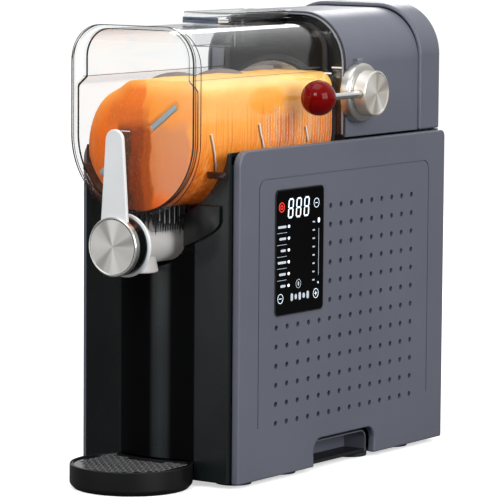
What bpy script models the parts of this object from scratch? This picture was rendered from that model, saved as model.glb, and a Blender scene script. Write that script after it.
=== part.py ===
"""Countertop slush machine: clear freezing vessel with auger and tap in front of a drive tower,
over a two-panel base that holds the refrigeration set. Units are metres, +Z up, front towards -Y."""

import math

import bmesh
import bpy
from mathutils import Matrix, Vector

MM = 0.001
GAP = 0.3

# Machine frame, in millimetres: X from the mid-plane, Y positive to the rear, Z from the table.
ROW_SHIFT = (-11.85, 45.75, 0.0)  # puts the origin under the middle of the bounding box
AXIS_Z = 306.3  # height of the auger, evaporator and vessel axis

PANEL_X, PANEL_RETURN, PANEL_SKIN = 85.3, 7.6, 3.0
PANEL_FRONT, PANEL_REAR, PANEL_LOW, PANEL_TOP = -167.8, 168.7, 3.9, 295.7
VENT_PITCH, VENT_R, VENT_COLUMNS, VENT_ROWS = 17.0, 2.7, 14, 12
GLASS_Y, GLASS_Z = (-113.0, -39.0), (147.6, 257.7)

COVER_FRONT, COVER_BACK, COVER_HALF, COVER_TOP = -173.5, -168.3, 77.4, 294.5
COLUMN_HALF, COLUMN_BULGE = 40.0, 8.0
CRADLE_R, CRADLE_WALL = 74.0, 3.0  # the cut in the front cover has the same radius

VESSEL_HALF, VESSEL_WALL, VESSEL_TOP = 65.0, 2.6, 400.0
SHOULDER_Z, SHOULDER_STEP = 357.0, 9.5
VESSEL_BACK, PLATE_BACK, PLATE_FRONT = 8.0, -206.5, -210.0
PLATE_HALF, PLATE_TOP, PLATE_CORNER, FLANGE_HALF = 66.0, 403.4, 32.0, 69.7
CHUTE_HALF, CHUTE_Y, CHUTE_LOW = 24.0, (-90.0, -9.0), 380.0
OUTLET_Y, OUTLET_R = -195.0, 8.0
LID_HALF, LID_Y, LID_Z = 26.0, (-101.0, -12.4), (404.3, 411.5)
LID_PIN = (-6.0, 408.0)

TAP_Z, TAP_R, TAP_BORE, TAP_Y, BORE_END = 213.4, 18.3, 15.3, (-217.7, -152.0), -182.0
NECK_HALF, RECESS_HALF, RECESS_DROP = 20.2, 31.5, 22.0
DISC_R, DISC_Y = 26.0, (-238.0, -236.0)
LEVER_Y, LEVER_TOP, LEVER_WIDE, LEVER_NARROW = (-235.7, -231.9), 315.0, 28.0, 18.6

EVAP_R, EVAP_WALL, EVAP_FRONT, EVAP_REAR = 42.0, 2.5, -186.0, 22.0
AUGER_IN, AUGER_OUT, AUGER_PITCH, AUGER_THICK = 43.5, 54.0, 68.0, 3.0
AUGER_Y, BAR_ANGLE = (-200.0, -4.0), 41.0
SHAFT_R = 5.0

TOWER_HALF, TOWER_Y, TOWER_TOP, TOWER_CORNER, TOWER_WALL = 76.2, (12.0, 134.0), 410.0, 47.0, 3.0
REAR_HALF, REAR_Y, REAR_TOP = 78.6, (134.3, 168.7), 414.0

LOCK_YZ, LOCK_RING_R, LOCK_HUB_R = (28.3, 337.2), 27.0, 20.5
LOCK_X = (76.5, 86.0, 99.0)
BALL, BALL_R, ROD_R = (93.0, -58.6, 337.1), 16.0, 3.25

TRAY_Y, TRAY_R, TRAY_TOP = -209.0, 54.0, 21.5
GRILLE_PITCH, GRILLE_HOLE = 8.0, 4.6

FAN_Z, FAN_R = 84.0, 46.0


# ---------------------------------------------------------------- scene and helpers


def clear_scene():
    for obj in list(bpy.data.objects):
        bpy.data.objects.remove(obj, do_unlink=True)


def collection(name):
    made = bpy.data.collections.new(name)
    bpy.context.scene.collection.children.link(made)
    return made


def material(name, colour, roughness, metallic=0.0, alpha=1.0):
    mat = bpy.data.materials.new(name)
    mat.use_nodes = True
    shader = mat.node_tree.nodes["Principled BSDF"]
    shader.inputs["Base Color"].default_value = (*colour, 1.0)
    shader.inputs["Roughness"].default_value = roughness
    shader.inputs["Metallic"].default_value = metallic
    shader.inputs["Alpha"].default_value = alpha
    return mat


clear_scene()
MACHINE = collection("slush_machine")
CUTTERS = collection("cutters")
ROOT = bpy.data.objects.new("slush_machine_root", None)
ROOT.location = Vector(ROW_SHIFT) * MM
MACHINE.objects.link(ROOT)

MATS = {
    "case": material("case", (0.165, 0.177, 0.22), 0.42, 0.1),
    "black": material("black", (0.012, 0.012, 0.013), 0.35),
    "dark": material("dark", (0.035, 0.037, 0.045), 0.45),
    "clear": material("clear", (0.92, 0.95, 0.96), 0.08, 0.0, 0.25),
    "glass_black": material("glass_black", (0.006, 0.006, 0.008), 0.05),
    "grey": material("grey", (0.45, 0.45, 0.45), 0.4),
    "auger": material("auger", (0.4, 0.38, 0.37), 0.4),
    "steel": material("steel", (0.62, 0.61, 0.58), 0.28, 1.0),
    "silver": material("silver", (0.7, 0.72, 0.73), 0.35, 0.6),
    "red": material("red", (0.16, 0.002, 0.004), 0.12),
    "rubber": material("rubber", (0.02, 0.02, 0.02), 0.8),
    "copper": material("copper", (0.6, 0.25, 0.13), 0.35, 1.0),
    "alu": material("alu", (0.7, 0.7, 0.7), 0.4, 1.0),
    "board": material("board", (0.02, 0.16, 0.06), 0.5),
    "silicone": material("silicone", (0.55, 0.56, 0.57), 0.6),
}


def adopt(mesh, name, mat):
    """An object in the machine frame, in metres, under the root."""
    obj = bpy.data.objects.new(name, mesh)
    (CUTTERS if mat is None else MACHINE).objects.link(obj)
    obj.parent = ROOT
    if mat is None:
        obj.hide_render = True
        obj.display_type = "WIRE"
    else:
        mesh.materials.clear()
        mesh.materials.append(MATS[mat])
    return obj


def smooth(obj, angle=32.0):
    obj.data.shade_smooth()
    obj.data.set_sharp_from_angle(angle=math.radians(angle))
    return obj


def pivot(obj, at):
    """Moves the object's origin to a point of the machine frame without moving its shape."""
    at = Vector(at) * MM
    obj.data.transform(Matrix.Translation(-at))
    obj.location = at
    return obj


def baked(obj):
    """The object with its modifiers applied, so that its origin and shape can be worked on."""
    graph = bpy.context.evaluated_depsgraph_get()
    mesh = bpy.data.meshes.new_from_object(obj.evaluated_get(graph))
    obj.modifiers.clear()
    obj.data = mesh
    return obj


PLANES = {
    "XY": Matrix(((1, 0, 0), (0, 1, 0), (0, 0, 1))),
    "XZ": Matrix(((1, 0, 0), (0, 0, -1), (0, 1, 0))),
    "YZ": Matrix(((0, 0, 1), (1, 0, 0), (0, 1, 0))),
}


def sheet(name, mat, plane, low, high, *loops):
    """Flat outlines (the first the rim, the others holes) given thickness from low to high."""
    curve = bpy.data.curves.new(name, "CURVE")
    curve.dimensions = "2D"
    curve.fill_mode = "BOTH"
    curve.extrude = (high - low) / 2 * MM
    for loop in loops:
        spline = curve.splines.new("POLY")
        spline.points.add(len(loop) - 1)
        spline.use_cyclic_u = True
        for point, (u, v) in zip(spline.points, loop):
            point.co = (u * MM, v * MM, 0.0, 1.0)
    holder = bpy.data.objects.new(name + "_outline", curve)
    CUTTERS.objects.link(holder)
    mesh = mesh_of(holder)
    turn = PLANES[plane].to_4x4()
    middle = (low + high) / 2 * MM
    normal = {"XY": (0, 0, 1), "XZ": (0, 1, 0), "YZ": (1, 0, 0)}[plane]
    mesh.transform(Matrix.Translation(Vector(normal) * middle) @ turn)
    return adopt(mesh, name, mat)


def mesh_of(curve_object):
    """The curve object as a mesh with its caps welded; the curve is removed."""
    graph = bpy.context.evaluated_depsgraph_get()
    mesh = bpy.data.meshes.new_from_object(curve_object.evaluated_get(graph))
    bm = bmesh.new()
    bm.from_mesh(mesh)
    bmesh.ops.remove_doubles(bm, verts=bm.verts, dist=1e-6)
    bmesh.ops.recalc_face_normals(bm, faces=bm.faces)
    bm.to_mesh(mesh)
    bm.free()
    bpy.data.objects.remove(curve_object, do_unlink=True)
    return mesh


def box(name, mat, low, high, bevel=0.0, segments=2):
    bm = bmesh.new()
    bmesh.ops.create_cube(bm, size=1.0)
    size = [b - a for a, b in zip(low, high)]
    centre = [(a + b) / 2 for a, b in zip(low, high)]
    bmesh.ops.scale(bm, vec=Vector(size) * MM, verts=bm.verts)
    bmesh.ops.translate(bm, vec=Vector(centre) * MM, verts=bm.verts)
    mesh = bpy.data.meshes.new(name)
    bm.to_mesh(mesh)
    bm.free()
    obj = adopt(mesh, name, mat)
    if bevel:
        soften(obj, bevel, segments)
    return obj


def soften(obj, width, segments=2, angle=40.0):
    mod = obj.modifiers.new("edge", "BEVEL")
    mod.width = width * MM
    mod.segments = segments
    mod.limit_method = "ANGLE"
    mod.angle_limit = math.radians(angle)
    return obj


AXES = {
    "Z": Matrix.Identity(4),
    "Y": Matrix(((1, 0, 0, 0), (0, 0, 1, 0), (0, -1, 0, 0), (0, 0, 0, 1))),
    "X": Matrix(((0, 0, 1, 0), (0, 1, 0, 0), (-1, 0, 0, 0), (0, 0, 0, 1))),
}


def turned(name, mat, axis, centre, profile, steps=24):
    """A (radius, height) profile turned about an axis through centre; high heights come first."""
    mesh = bpy.data.meshes.new(name)
    bm = bmesh.new()
    verts = [bm.verts.new((r * MM, 0.0, h * MM)) for r, h in profile]
    for a, b in zip(verts, verts[1:]):
        bm.edges.new((a, b))
    if profile[0][0] > 0:
        bm.edges.new((verts[-1], verts[0]))
    bm.to_mesh(mesh)
    bm.free()
    obj = adopt(mesh, name, mat)
    mod = obj.modifiers.new("turn", "SCREW")
    mod.steps = mod.render_steps = steps
    mod.use_merge_vertices = True
    mod.merge_threshold = 1e-5
    baked(obj)
    obj.data.transform(Matrix.Translation(Vector(centre) * MM) @ AXES[axis])
    if mat is not None:
        obj.data.materials.clear()
        obj.data.materials.append(MATS[mat])
    return smooth(obj)


def drills(name, plane, centres, radius, low, high, stretch=1.0):
    """One cutter of many four-sided drills from low to high, lengthened along the plane's second axis."""
    bm = bmesh.new()
    turn = PLANES[plane].to_4x4()
    normal = Vector({"XY": (0, 0, 1), "XZ": (0, 1, 0), "YZ": (1, 0, 0)}[plane])
    for u, v in centres:
        at = turn @ Vector((u, v, 0)) + normal * (low + high) / 2
        shape = Matrix.Diagonal((1, stretch, 1, 1)) @ Matrix.Rotation(math.pi / 4, 4, "Z")
        place = Matrix.Translation(at * MM) @ turn @ shape
        bmesh.ops.create_cone(bm, cap_ends=True, segments=4, radius1=radius * MM, radius2=radius * MM,
                              depth=(high - low) * MM, matrix=place)
    mesh = bpy.data.meshes.new(name)
    bm.to_mesh(mesh)
    bm.free()
    return adopt(mesh, name, None)


def rod(name, mat, axis, centre, radius, low, high, steps=20, edge=0.0):
    """A round bar from low to high along the axis through centre (centre's own height is 0)."""
    profile = [(0, high), (radius - edge, high), (radius, high - edge), (radius, low + edge)]
    profile += [(radius - edge, low), (0, low)]
    if not edge:
        profile = [(0, high), (radius, high), (radius, low), (0, low)]
    return turned(name, mat, axis, centre, profile, steps)


def ring(name, mat, axis, centre, inner, outer, low, high, steps=28):
    profile = [(inner, high), (outer, high), (outer, low), (inner, low)]
    return turned(name, mat, axis, centre, profile, steps)


def tube(name, mat, route, radius, resolution=2):
    """A bent round tube along a smooth curve through the route's points."""
    curve = bpy.data.curves.new(name, "CURVE")
    curve.dimensions = "3D"
    curve.bevel_depth = radius * MM
    curve.bevel_resolution = resolution
    curve.use_fill_caps = True
    points = through(route, 4)
    spline = curve.splines.new("POLY")
    spline.points.add(len(points) - 1)
    for point, at in zip(spline.points, points):
        point.co = (*(at * MM), 1.0)
    holder = bpy.data.objects.new(name + "_route", curve)
    CUTTERS.objects.link(holder)
    return smooth(adopt(mesh_of(holder), name, mat), 50)


def through(route, per_span):
    """Points of a Catmull-Rom curve through the route."""
    pts = [Vector(p) for p in route]
    pts = [2 * pts[0] - pts[1], *pts, 2 * pts[-1] - pts[-2]]
    made = []
    for a, b, c, d in zip(pts, pts[1:], pts[2:], pts[3:]):
        for i in range(per_span):
            t = i / per_span
            made.append(
                0.5 * (2 * b + (c - a) * t + (2 * a - 5 * b + 4 * c - d) * t**2
                       + (3 * b - a - 3 * c + d) * t**3)
            )
    return [*made, pts[-2]]


def boolean(obj, other, operation):
    if other.name not in CUTTERS.objects:
        MACHINE.objects.unlink(other)
        CUTTERS.objects.link(other)
    other.hide_render = True
    other.display_type = "WIRE"
    mod = obj.modifiers.new(operation.lower(), "BOOLEAN")
    mod.operation = operation
    mod.object = other
    return obj


def cut(obj, *others):
    for other in others:
        boolean(obj, other, "DIFFERENCE")
    return obj


def join(obj, *others):
    for other in others:
        boolean(obj, other, "UNION")
    return obj


# ---------------------------------------------------------------- outlines


def arc(cx, cy, radius, start, end, steps):
    """Points on a circle from start to end degrees, both ends included."""
    angles = [math.radians(start + (end - start) * i / steps) for i in range(steps + 1)]
    return [(cx + radius * math.cos(a), cy + radius * math.sin(a)) for a in angles]


def rect(u0, u1, v0, v1):
    return [(u0, v0), (u1, v0), (u1, v1), (u0, v1)]


def round_rect(u0, u1, v0, v1, radius, steps=4):
    corners = [(u1 - radius, v0 + radius, -90), (u1 - radius, v1 - radius, 0)]
    corners += [(u0 + radius, v1 - radius, 90), (u0 + radius, v0 + radius, 180)]
    return [p for cu, cv, a in corners for p in arc(cu, cv, radius, a, a + 90, steps)]


def mirrored(right_half):
    """A closed outline from its right half, listed from the bottom up."""
    return right_half + [(-u, v) for u, v in reversed(right_half) if abs(u) > 1e-6]


def bowl_outline(half, top, corner, low_steps=14, corner_steps=5):
    """A round-bottomed upright outline: semicircle below the axis, rounded corners above."""
    side = arc(0, AXIS_Z, half, -90, 0, low_steps)
    return mirrored(side + arc(half - corner, top - corner, corner, 0, 90, corner_steps))


def vessel_outline(offset):
    """The vessel's section, offset inwards from its outer skin."""
    half, step = VESSEL_HALF - offset, SHOULDER_STEP
    upper, corner = half - step, PLATE_CORNER - 6 - offset
    side = arc(0, AXIS_Z, half, -90, 0, 14)
    side += [(half, SHOULDER_Z - 8.5 - offset), (upper + 1, SHOULDER_Z - offset)]
    side += [(upper, SHOULDER_Z + 1 - offset)]
    return mirrored(side + arc(upper - corner, VESSEL_TOP - offset - corner, corner, 0, 90, 5))


def arch_outline(half, low, top, corner, steps=7):
    """An upright outline with a flat base and rounded top corners."""
    return mirrored([(half, low)] + arc(half - corner, top - corner, corner, 0, 90, steps))


def panel_outline(inset):
    """The side panel seen from the right: a grip notch below, rounded top corners."""
    front, rear = PANEL_FRONT + inset, PANEL_REAR - inset
    low, top = PANEL_LOW + inset, PANEL_TOP - inset
    big, small = 14 - inset / 2, 6 - inset / 2
    notch = [(-48 - inset, low)] + arc(-37, 17, 12 + inset, 180, 90, 4)
    notch += arc(40, 17, 12 + inset, 90, 0, 4) + [(51 + inset, low)]
    outline = [(front, low), *notch, (rear, low)]
    outline += arc(rear - small, top - small, small, 0, 90, 3)
    return outline + arc(front + big, top - big, big, 90, 180, 5)


# ---------------------------------------------------------------- base


def vents():
    """Centres of the vent grid, leaving the control glass's area plain."""
    holes = []
    for row in range(VENT_ROWS):
        z = 238.5 - row * VENT_PITCH
        for column in range(5 if row < 6 else 0, VENT_COLUMNS):
            y = (column - (VENT_COLUMNS - 1) / 2) * VENT_PITCH
            holes.append((y, z))
    return holes


def side_panel(name, side):
    """A pressed panel: a thin vented skin with a return round its edge."""
    whole = sorted((side * (PANEL_X - PANEL_RETURN), side * PANEL_X))
    hollow = sorted((side * (PANEL_X - PANEL_RETURN - 2), side * (PANEL_X - PANEL_SKIN)))
    through_skin = sorted((side * (PANEL_X - PANEL_SKIN - 1), side * (PANEL_X + 1)))
    panel = sheet(name, "case", "YZ", *whole, panel_outline(0))
    pocket = sheet(name + "_pocket", None, "YZ", *hollow, panel_outline(3))
    return smooth(cut(panel, pocket, drills(name + "_vents", "YZ", vents(), VENT_R, *through_skin)))


def make_base():
    box("base_plate", "dark", (-76.8, -163, 4.2), (76.8, 163, 7.2))
    side_panel("side_panel_right", 1)
    side_panel("side_panel_left", -1)
    for side, letter in ((1, "right"), (-1, "left")):
        foot(f"foot_{letter}_front", side * 60.5, -139, -70)
        foot(f"foot_{letter}_rear", side * 60.5, 47, 117)
    rear = sheet("rear_panel", "case", "XZ", 165.4, 168.4, rect(-77.3, 77.3, 4.4, 296.6), *rear_slots())
    drill = rod("inlet_cut", None, "Y", (-50, 0, 24), 9.3, 150, 180)
    cut(rear, drill)
    turned("cable_gland", "black", "Y", (-50, 0, 24),
           [(4, 171.5), (10.5, 171.5), (12, 170), (12, 168.7), (9, 168.7), (9, 163), (4, 163)], 16)
    for index, (x, z) in enumerate(((-70, 12), (70, 12), (-70, 288), (70, 288))):
        cut(rear, rod(f"screw_cut_{index}", None, "Y", (x, 0, z), 2.1, 160, 175, 10))
        turned(f"rear_screw_{index + 1}", "steel", "Y", (x, 0, z),
               [(0, 170.4), (2.4, 170.4), (3.6, 168.7), (1.7, 168.7), (1.7, 161), (0, 161)], 10)


def foot(name, x, y0, y1):
    """Two round pads moulded on one strip of rubber."""
    strip = box(name, "rubber", (x - 6, y0, 2.4), (x + 6, y1, 3.9))
    pads = [rod(f"{name}_pad_{i}", None, "Z", (x, y, 0), 16, 0, 3.9, 20) for i, y in enumerate((y0, y1))]
    join(strip, *pads)


def rear_slots():
    """Exhaust slots behind the condenser."""
    return [rect(-52, 52, z, z + 4)[::-1] for z in range(34, 146, 10)]


# ---------------------------------------------------------------- front


def column_outline(grow=0.0):
    """Plan of the bulging column in the middle of the front."""
    half, bulge = COLUMN_HALF + grow, COLUMN_BULGE + grow
    radius = (half**2 + bulge**2) / (2 * bulge)
    swing = math.degrees(math.asin(half / radius))
    centre = COVER_FRONT - bulge + radius
    front = arc(0, centre, radius, -90 - swing, -90 + swing, 10)
    return front + [(half, COVER_FRONT + 2), (-half, COVER_FRONT + 2)]


def recess_outline():
    """The upright slot with a rounded foot that the tap's barrel and neck pass through."""
    foot = [(u * RECESS_HALF, TAP_Z + v * RECESS_DROP) for u, v in arc(0, 0, 1, 0, -180, 16)]
    return [(RECESS_HALF, 250), *foot, (-RECESS_HALF, 250)]


def cover_outline():
    """The front plate, cut out round the vessel and flared at the top to the panel corners."""
    flare = [(COVER_HALF, COVER_TOP - 1.7), (COVER_HALF - 0.6, COVER_TOP), (COVER_HALF - 1.8, COVER_TOP)]
    flare += [(72.2, 278.5), (70.0, 274.0)]
    sweep = arc(0, AXIS_Z, CRADLE_R, -28.5, -151.5, 20)
    return [(-COVER_HALF, 5.0), (COVER_HALF, 5.0), *flare, *sweep, *[(-u, v) for u, v in reversed(flare)]]


def make_front():
    cover = sheet("front_cover", "black", "XZ", COVER_FRONT, COVER_BACK - 1, cover_outline())
    join(cover, sheet("front_column", None, "XY", 23.0, 204.4, column_outline()))
    lower = [(70, 248.4), (70, 233), (62.9, 225.3), (50, 218.2), (32.4, 210.7), (16, 206.4), (0, 205.0)]
    rim = arc(0, AXIS_Z, CRADLE_R, -51.5, -128.5, 14)
    outline = [(-u, v) for u, v in lower] + lower[-2::-1] + rim
    join(cover, sheet("cowl", None, "XZ", -176.4, COVER_FRONT + 2, outline))
    cut(cover, sheet("tap_recess", None, "XZ", -195, -160, recess_outline()))
    smooth(cover)
    make_cradle()


def make_cradle():
    """The trough under the vessel, with shelves out to the side panels and two rails that carry it."""
    inner, outer = CRADLE_R, CRADLE_R + CRADLE_WALL
    top, low = COVER_TOP - 0.5, COVER_TOP - 3.5
    a, b = (math.degrees(math.asin((z - AXIS_Z) / r)) for z, r in ((top, inner), (low, outer)))
    outline = arc(0, AXIS_Z, inner, a, -180 - a, 22)
    outline += [(-77.2, top), (-77.2, low)] + arc(0, AXIS_Z, outer, -180 - b, b, 22)
    outline += [(77.2, low), (77.2, top)]
    cradle = sheet("vessel_cradle", "black", "XZ", COVER_BACK - 0.7, 11.6, outline)
    for index, angle in enumerate((-60, -120)):
        rail = arc(0, AXIS_Z, VESSEL_HALF + 0.5, angle + 3, angle - 3, 3) + arc(
            0, AXIS_Z, inner + 1, angle - 3, angle + 3, 3)
        join(cradle, sheet(f"rail_{index}", None, "XZ", -135, 10, rail))
    smooth(cut(cradle, box("neck_cut", None, (-RECESS_HALF, -175, 215), (RECESS_HALF, -148, 245))))


# ---------------------------------------------------------------- tower


def make_tower():
    outer = arch_outline(TOWER_HALF, 297.0, TOWER_TOP, TOWER_CORNER)
    inner = arch_outline(TOWER_HALF - TOWER_WALL, 297.0, TOWER_TOP - TOWER_WALL,
                         TOWER_CORNER - TOWER_WALL)
    shell = sheet("tower_shell", "case", "XZ", *TOWER_Y, outer + inner[::-1])
    cut(shell, rod("lock_bore", None, "X", (0, *LOCK_YZ), 8.4, 60, 90))
    smooth(shell)
    make_bulkhead()
    rear_out = arch_outline(REAR_HALF, 297.0, REAR_TOP, TOWER_CORNER + 1)
    rear_in = arch_outline(REAR_HALF - 3, 290.0, REAR_TOP - 3, TOWER_CORNER - 2)
    cover = sheet("rear_cover", "case", "XZ", *REAR_Y, rear_out)
    cut(cover, sheet("rear_hollow", None, "XZ", REAR_Y[0] - 5, REAR_Y[1] - 3, rear_in))
    smooth(cover)


def make_bulkhead():
    plate = arch_outline(TOWER_HALF - TOWER_WALL - GAP, 238.0, TOWER_TOP - TOWER_WALL - GAP,
                         TOWER_CORNER - TOWER_WALL - GAP)
    hole = arc(0, AXIS_Z, EVAP_R + 0.4, 0, -345, 23)
    sheet("tower_bulkhead", "dark", "XZ", 12.3, 15.3, plate, hole)
    sheet("vessel_gasket", "silicone", "XZ", VESSEL_BACK + GAP, 12.0, vessel_outline(0),
          vessel_outline(3.0)[::-1])


# ---------------------------------------------------------------- cooling and drive


def make_evaporator():
    mid = EVAP_R - EVAP_WALL
    profile = [(mid, EVAP_REAR), (EVAP_R, EVAP_REAR), (EVAP_R, 12.0), (58, 12.0), (58, 5.0)]
    profile += [(EVAP_R, 5.0), (EVAP_R, EVAP_FRONT + 2), (EVAP_R - 2, EVAP_FRONT)]
    profile += [(SHAFT_R + 0.4, EVAP_FRONT), (SHAFT_R + 0.4, EVAP_FRONT + 4)]
    profile += [(mid, EVAP_FRONT + 4)]
    turned("evaporator", "steel", "Y", (0, 0, AXIS_Z), profile, 32)
    ring("shaft_seal", "rubber", "Y", (0, 0, AXIS_Z), SHAFT_R + 0.3, 11, EVAP_FRONT - 4, EVAP_FRONT - 0.3, 16)


def make_auger():
    """A helical flight round the evaporator, ending at a wiper bar behind the front plate."""
    bm = bmesh.new()
    start = math.radians(BAR_ANGLE)
    half = AUGER_THICK / 2
    corners = [(AUGER_IN, -half), (AUGER_OUT, -half), (AUGER_OUT, half), (AUGER_IN, half)]
    verts = [bm.verts.new((r * MM * math.cos(start), (AUGER_Y[0] + h) * MM, r * MM * math.sin(start)))
             for r, h in corners]
    face = bm.faces.new(verts)
    turns = (AUGER_Y[1] - AUGER_Y[0]) / AUGER_PITCH
    steps = round(18 * turns)
    step = Vector((0, (AUGER_Y[1] - AUGER_Y[0]) / steps, 0)) * MM
    geom = [face, *face.edges, *face.verts]
    bmesh.ops.spin(bm, geom=geom, cent=(0, 0, 0), axis=(0, 1, 0), dvec=step,
                   angle=-math.tau * turns, steps=steps, use_duplicate=False)
    bmesh.ops.recalc_face_normals(bm, faces=bm.faces)
    bmesh.ops.translate(bm, vec=(0, 0, AXIS_Z * MM), verts=bm.verts)
    mesh = bpy.data.meshes.new("auger")
    bm.to_mesh(mesh)
    bm.free()
    auger = smooth(adopt(mesh, "auger", "auger"), 40)
    bar = box("wiper_bar", None, (-54, -204.5, -4.5), (54, -198.5, 4.5))
    bar.data.transform(Matrix.Translation((0, 0, AXIS_Z * MM))
                       @ Matrix.Rotation(-start, 4, "Y"))
    hub = rod("wiper_hub", None, "Y", (0, 0, AXIS_Z), 10, -205.0, -191.0)
    bore = rod("wiper_bore", None, "Y", (0, 0, AXIS_Z), SHAFT_R + 0.3, -201.0, -185)
    cut(join(auger, bar, hub), bore)
    pivot(baked(auger), (0, -100, AXIS_Z))
    shaft = rod("drive_shaft", "steel", "Y", (0, 0, AXIS_Z), SHAFT_R, -200.6, 50, 14, 0.5)
    pivot(shaft, (0, -100, AXIS_Z))


def make_drive():
    turned("gearbox", "alu", "Y", (0, 0, AXIS_Z),
           [(5.4, 58), (37, 58), (37, 40), (34, 36), (5.4, 36)], 24)
    turned("gear_motor", "steel", "Y", (0, 0, AXIS_Z),
           [(0, 124), (8, 124), (8, 118), (29, 118), (31, 116), (31, 60), (29, 58.3), (0, 58.3)], 24)


def make_refrigeration():
    turned("compressor", "black", "Z", (0, 12, 0),
           [(0, 152), (24, 150), (40, 142), (48, 126), (50, 108), (50, 34),
             (46, 18), (34, 8.2), (0, 8.2)], 24)
    condenser = box("condenser", "alu", (-58, 137, 24), (58, 158, 150))
    fins = sheet("fin_gaps", None, "XY", 20, 155, comb_teeth())
    cut(condenser, fins)
    frame = rect(-58, 58, 24, 150)
    hole = arc(0, FAN_Z, FAN_R + 2.5, 0, -345, 23)
    sheet("fan_shroud", "black", "XZ", 120, 136.6, frame, hole)
    make_fan()
    turned("filter_drier", "copper", "Z", (-60, 95, 0),
           [(0, 150), (3, 149), (8, 142), (8, 104), (3, 97), (0, 96)], 12)
    make_lines()
    box("main_board", "board", (-60, -150, 7.5), (60, -62, 9.3))


def comb_teeth():
    """Plan of the gaps between the condenser's fins: a comb cut from the rear face."""
    points = [(-60.0, 162.0), (-60.0, 156.0)]
    for index in range(14):
        x = -54 + index * 8
        points += [(x, 156.0), (x, 142.0), (x + 4, 142.0), (x + 4, 156.0)]
    return points + [(60.0, 156.0), (60.0, 162.0)]


def make_fan():
    """Hub with five raked blades, on the fan motor's axis."""
    centre = (0, 0, FAN_Z)
    fan = turned("condenser_fan", "black", "Y", centre,
                 [(0, 134), (13, 134), (15, 132), (15, 119), (0, 119)], 20)
    for index in range(5):
        blade = box(f"blade_{index}", None, (8, -0.8, -11), (FAN_R, 0.8, 11))
        blade.data.transform(
            Matrix.Translation(Vector((0, 126.5, FAN_Z)) * MM)
            @ Matrix.Rotation(math.tau * index / 5, 4, "Y")
            @ Matrix.Rotation(math.radians(24), 4, "X")
        )
        join(fan, blade)
    pivot(baked(fan), (0, 126, FAN_Z))
    turned("fan_motor", "black", "Y", centre,
           [(0, 118.6), (18, 118.6), (20, 116), (20, 94), (18, 92), (0, 92)], 18)


def make_lines():
    """Refrigerant lines between compressor, condenser, drier and evaporator."""
    tube("suction_line", "copper",
         [(34, 12, 150), (44, 14, 176), (50, 24, 215), (40, 27, 262), (26, 28.5, 284)], 3.2)
    tube("discharge_line", "copper",
         [(-30, 30, 149), (-36, 50, 170), (-40, 90, 178), (-46, 124, 176), (-48, 146, 153)], 2.6)
    tube("liquid_line", "copper",
         [(-60, 95, 151), (-62, 84, 175), (-60, 60, 210), (-48, 34, 240), (-22, 27, 282)], 2.0)


# ---------------------------------------------------------------- vessel


def make_vessel():
    body = sheet("vessel", "clear", "XZ", PLATE_BACK - 0.5, VESSEL_BACK, vessel_outline(0),
                 vessel_outline(VESSEL_WALL)[::-1])
    plate = sheet("front_plate", None, "XZ", PLATE_FRONT, PLATE_BACK,
                  bowl_outline(PLATE_HALF, PLATE_TOP, PLATE_CORNER))
    flange = sheet("front_flange", None, "XZ", -205.6, -203.0,
                   bowl_outline(FLANGE_HALF, PLATE_TOP - 0.6, PLATE_CORNER + 3),
                   vessel_outline(1.2)[::-1])
    inner = [(u, v) for u, v in vessel_outline(1.2) if v > 306]
    rim = sheet("rear_rim", None, "XZ", 3.0, 7.7, [(-69, 300), (-63.8, 300), *inner[::-1],
                (63.8, 300), *arch_outline(69.0, 300.0, VESSEL_TOP + 2.4, 33, 5)[:-1]])
    mouth = box("mouth_cut", None, (-CHUTE_HALF + 2, CHUTE_Y[0] + 2, 375),
                (CHUTE_HALF - 2, CHUTE_Y[1] - 2, 420))
    chute = box("chute", None, (-CHUTE_HALF, CHUTE_Y[0], CHUTE_LOW), (CHUTE_HALF, CHUTE_Y[1], 402.2))
    hinge = box("hinge_block", None, (-20, -10.6, 398), (20, -1.4, 411.4))
    join(body, plate, flange, rim, neck(), chute, hinge)
    for side in (-1, 1):
        x0, x1 = sorted((side * 55.7, side * 76.9))
        join(body, box(f"vessel_lug_{side}", None, (x0, -179.2, 271.8), (x1, -173.9, 278)))
    cut(body, mouth, rod("outlet_cut", None, "Z", (0, OUTLET_Y, 0), OUTLET_R, 225, 256),
        rod("pin_cut", None, "X", (0, *LID_PIN), 1.6, -30, 30, 12))
    for mod in body.modifiers:
        mod.solver = "MANIFOLD"
    smooth(pivot(baked(body), (0, VESSEL_BACK, AXIS_Z)))


def neck():
    """The moulded block under the vessel that seats on the tap's barrel."""
    half, clear, low_z = NECK_HALF, TAP_R + GAP, TAP_Z + 11
    reach = VESSEL_HALF - 1.0
    top = math.degrees(math.acos(half / reach))
    low = math.degrees(math.asin(11 / clear))
    outline = [(half, low_z)] + arc(0, AXIS_Z, reach, -top, -180 + top, 8)
    outline += [(-half, low_z)] + arc(0, TAP_Z, clear, 180 - low, low, 10)
    return sheet("neck", None, "XZ", -203.0, TAP_Y[1], outline)


def make_hatch():
    x, (y0, y1), (z0, z1) = LID_HALF, LID_Y, LID_Z
    lid = box("hatch_lid", "clear", (-x, y0, z0), (x, y1, z1), 1.2, 1)
    join(lid, box("lid_ear_left", None, (-x, y1 - 2, z0), (-21, -2, z1)),
         box("lid_ear_right", None, (21, y1 - 2, z0), (x, -2, z1)),
         box("lid_lip", None, (-x, y0, z0 - 3), (x, y0 + 3, z1 - 1)))
    cut(lid, box("lid_hollow", None, (-x + 2, y0 + 3.0, z0 - 5), (x - 2, y1 - 2, z1 - 2)),
        rod("lid_pin_cut", None, "X", (0, *LID_PIN), 1.6, -24, 24, 12))
    pivot(baked(lid), (0, *LID_PIN))
    rod("hatch_pin", "steel", "X", (0, *LID_PIN), 1.3, -23.6, 23.6, 10)


# ---------------------------------------------------------------- tap


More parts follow.
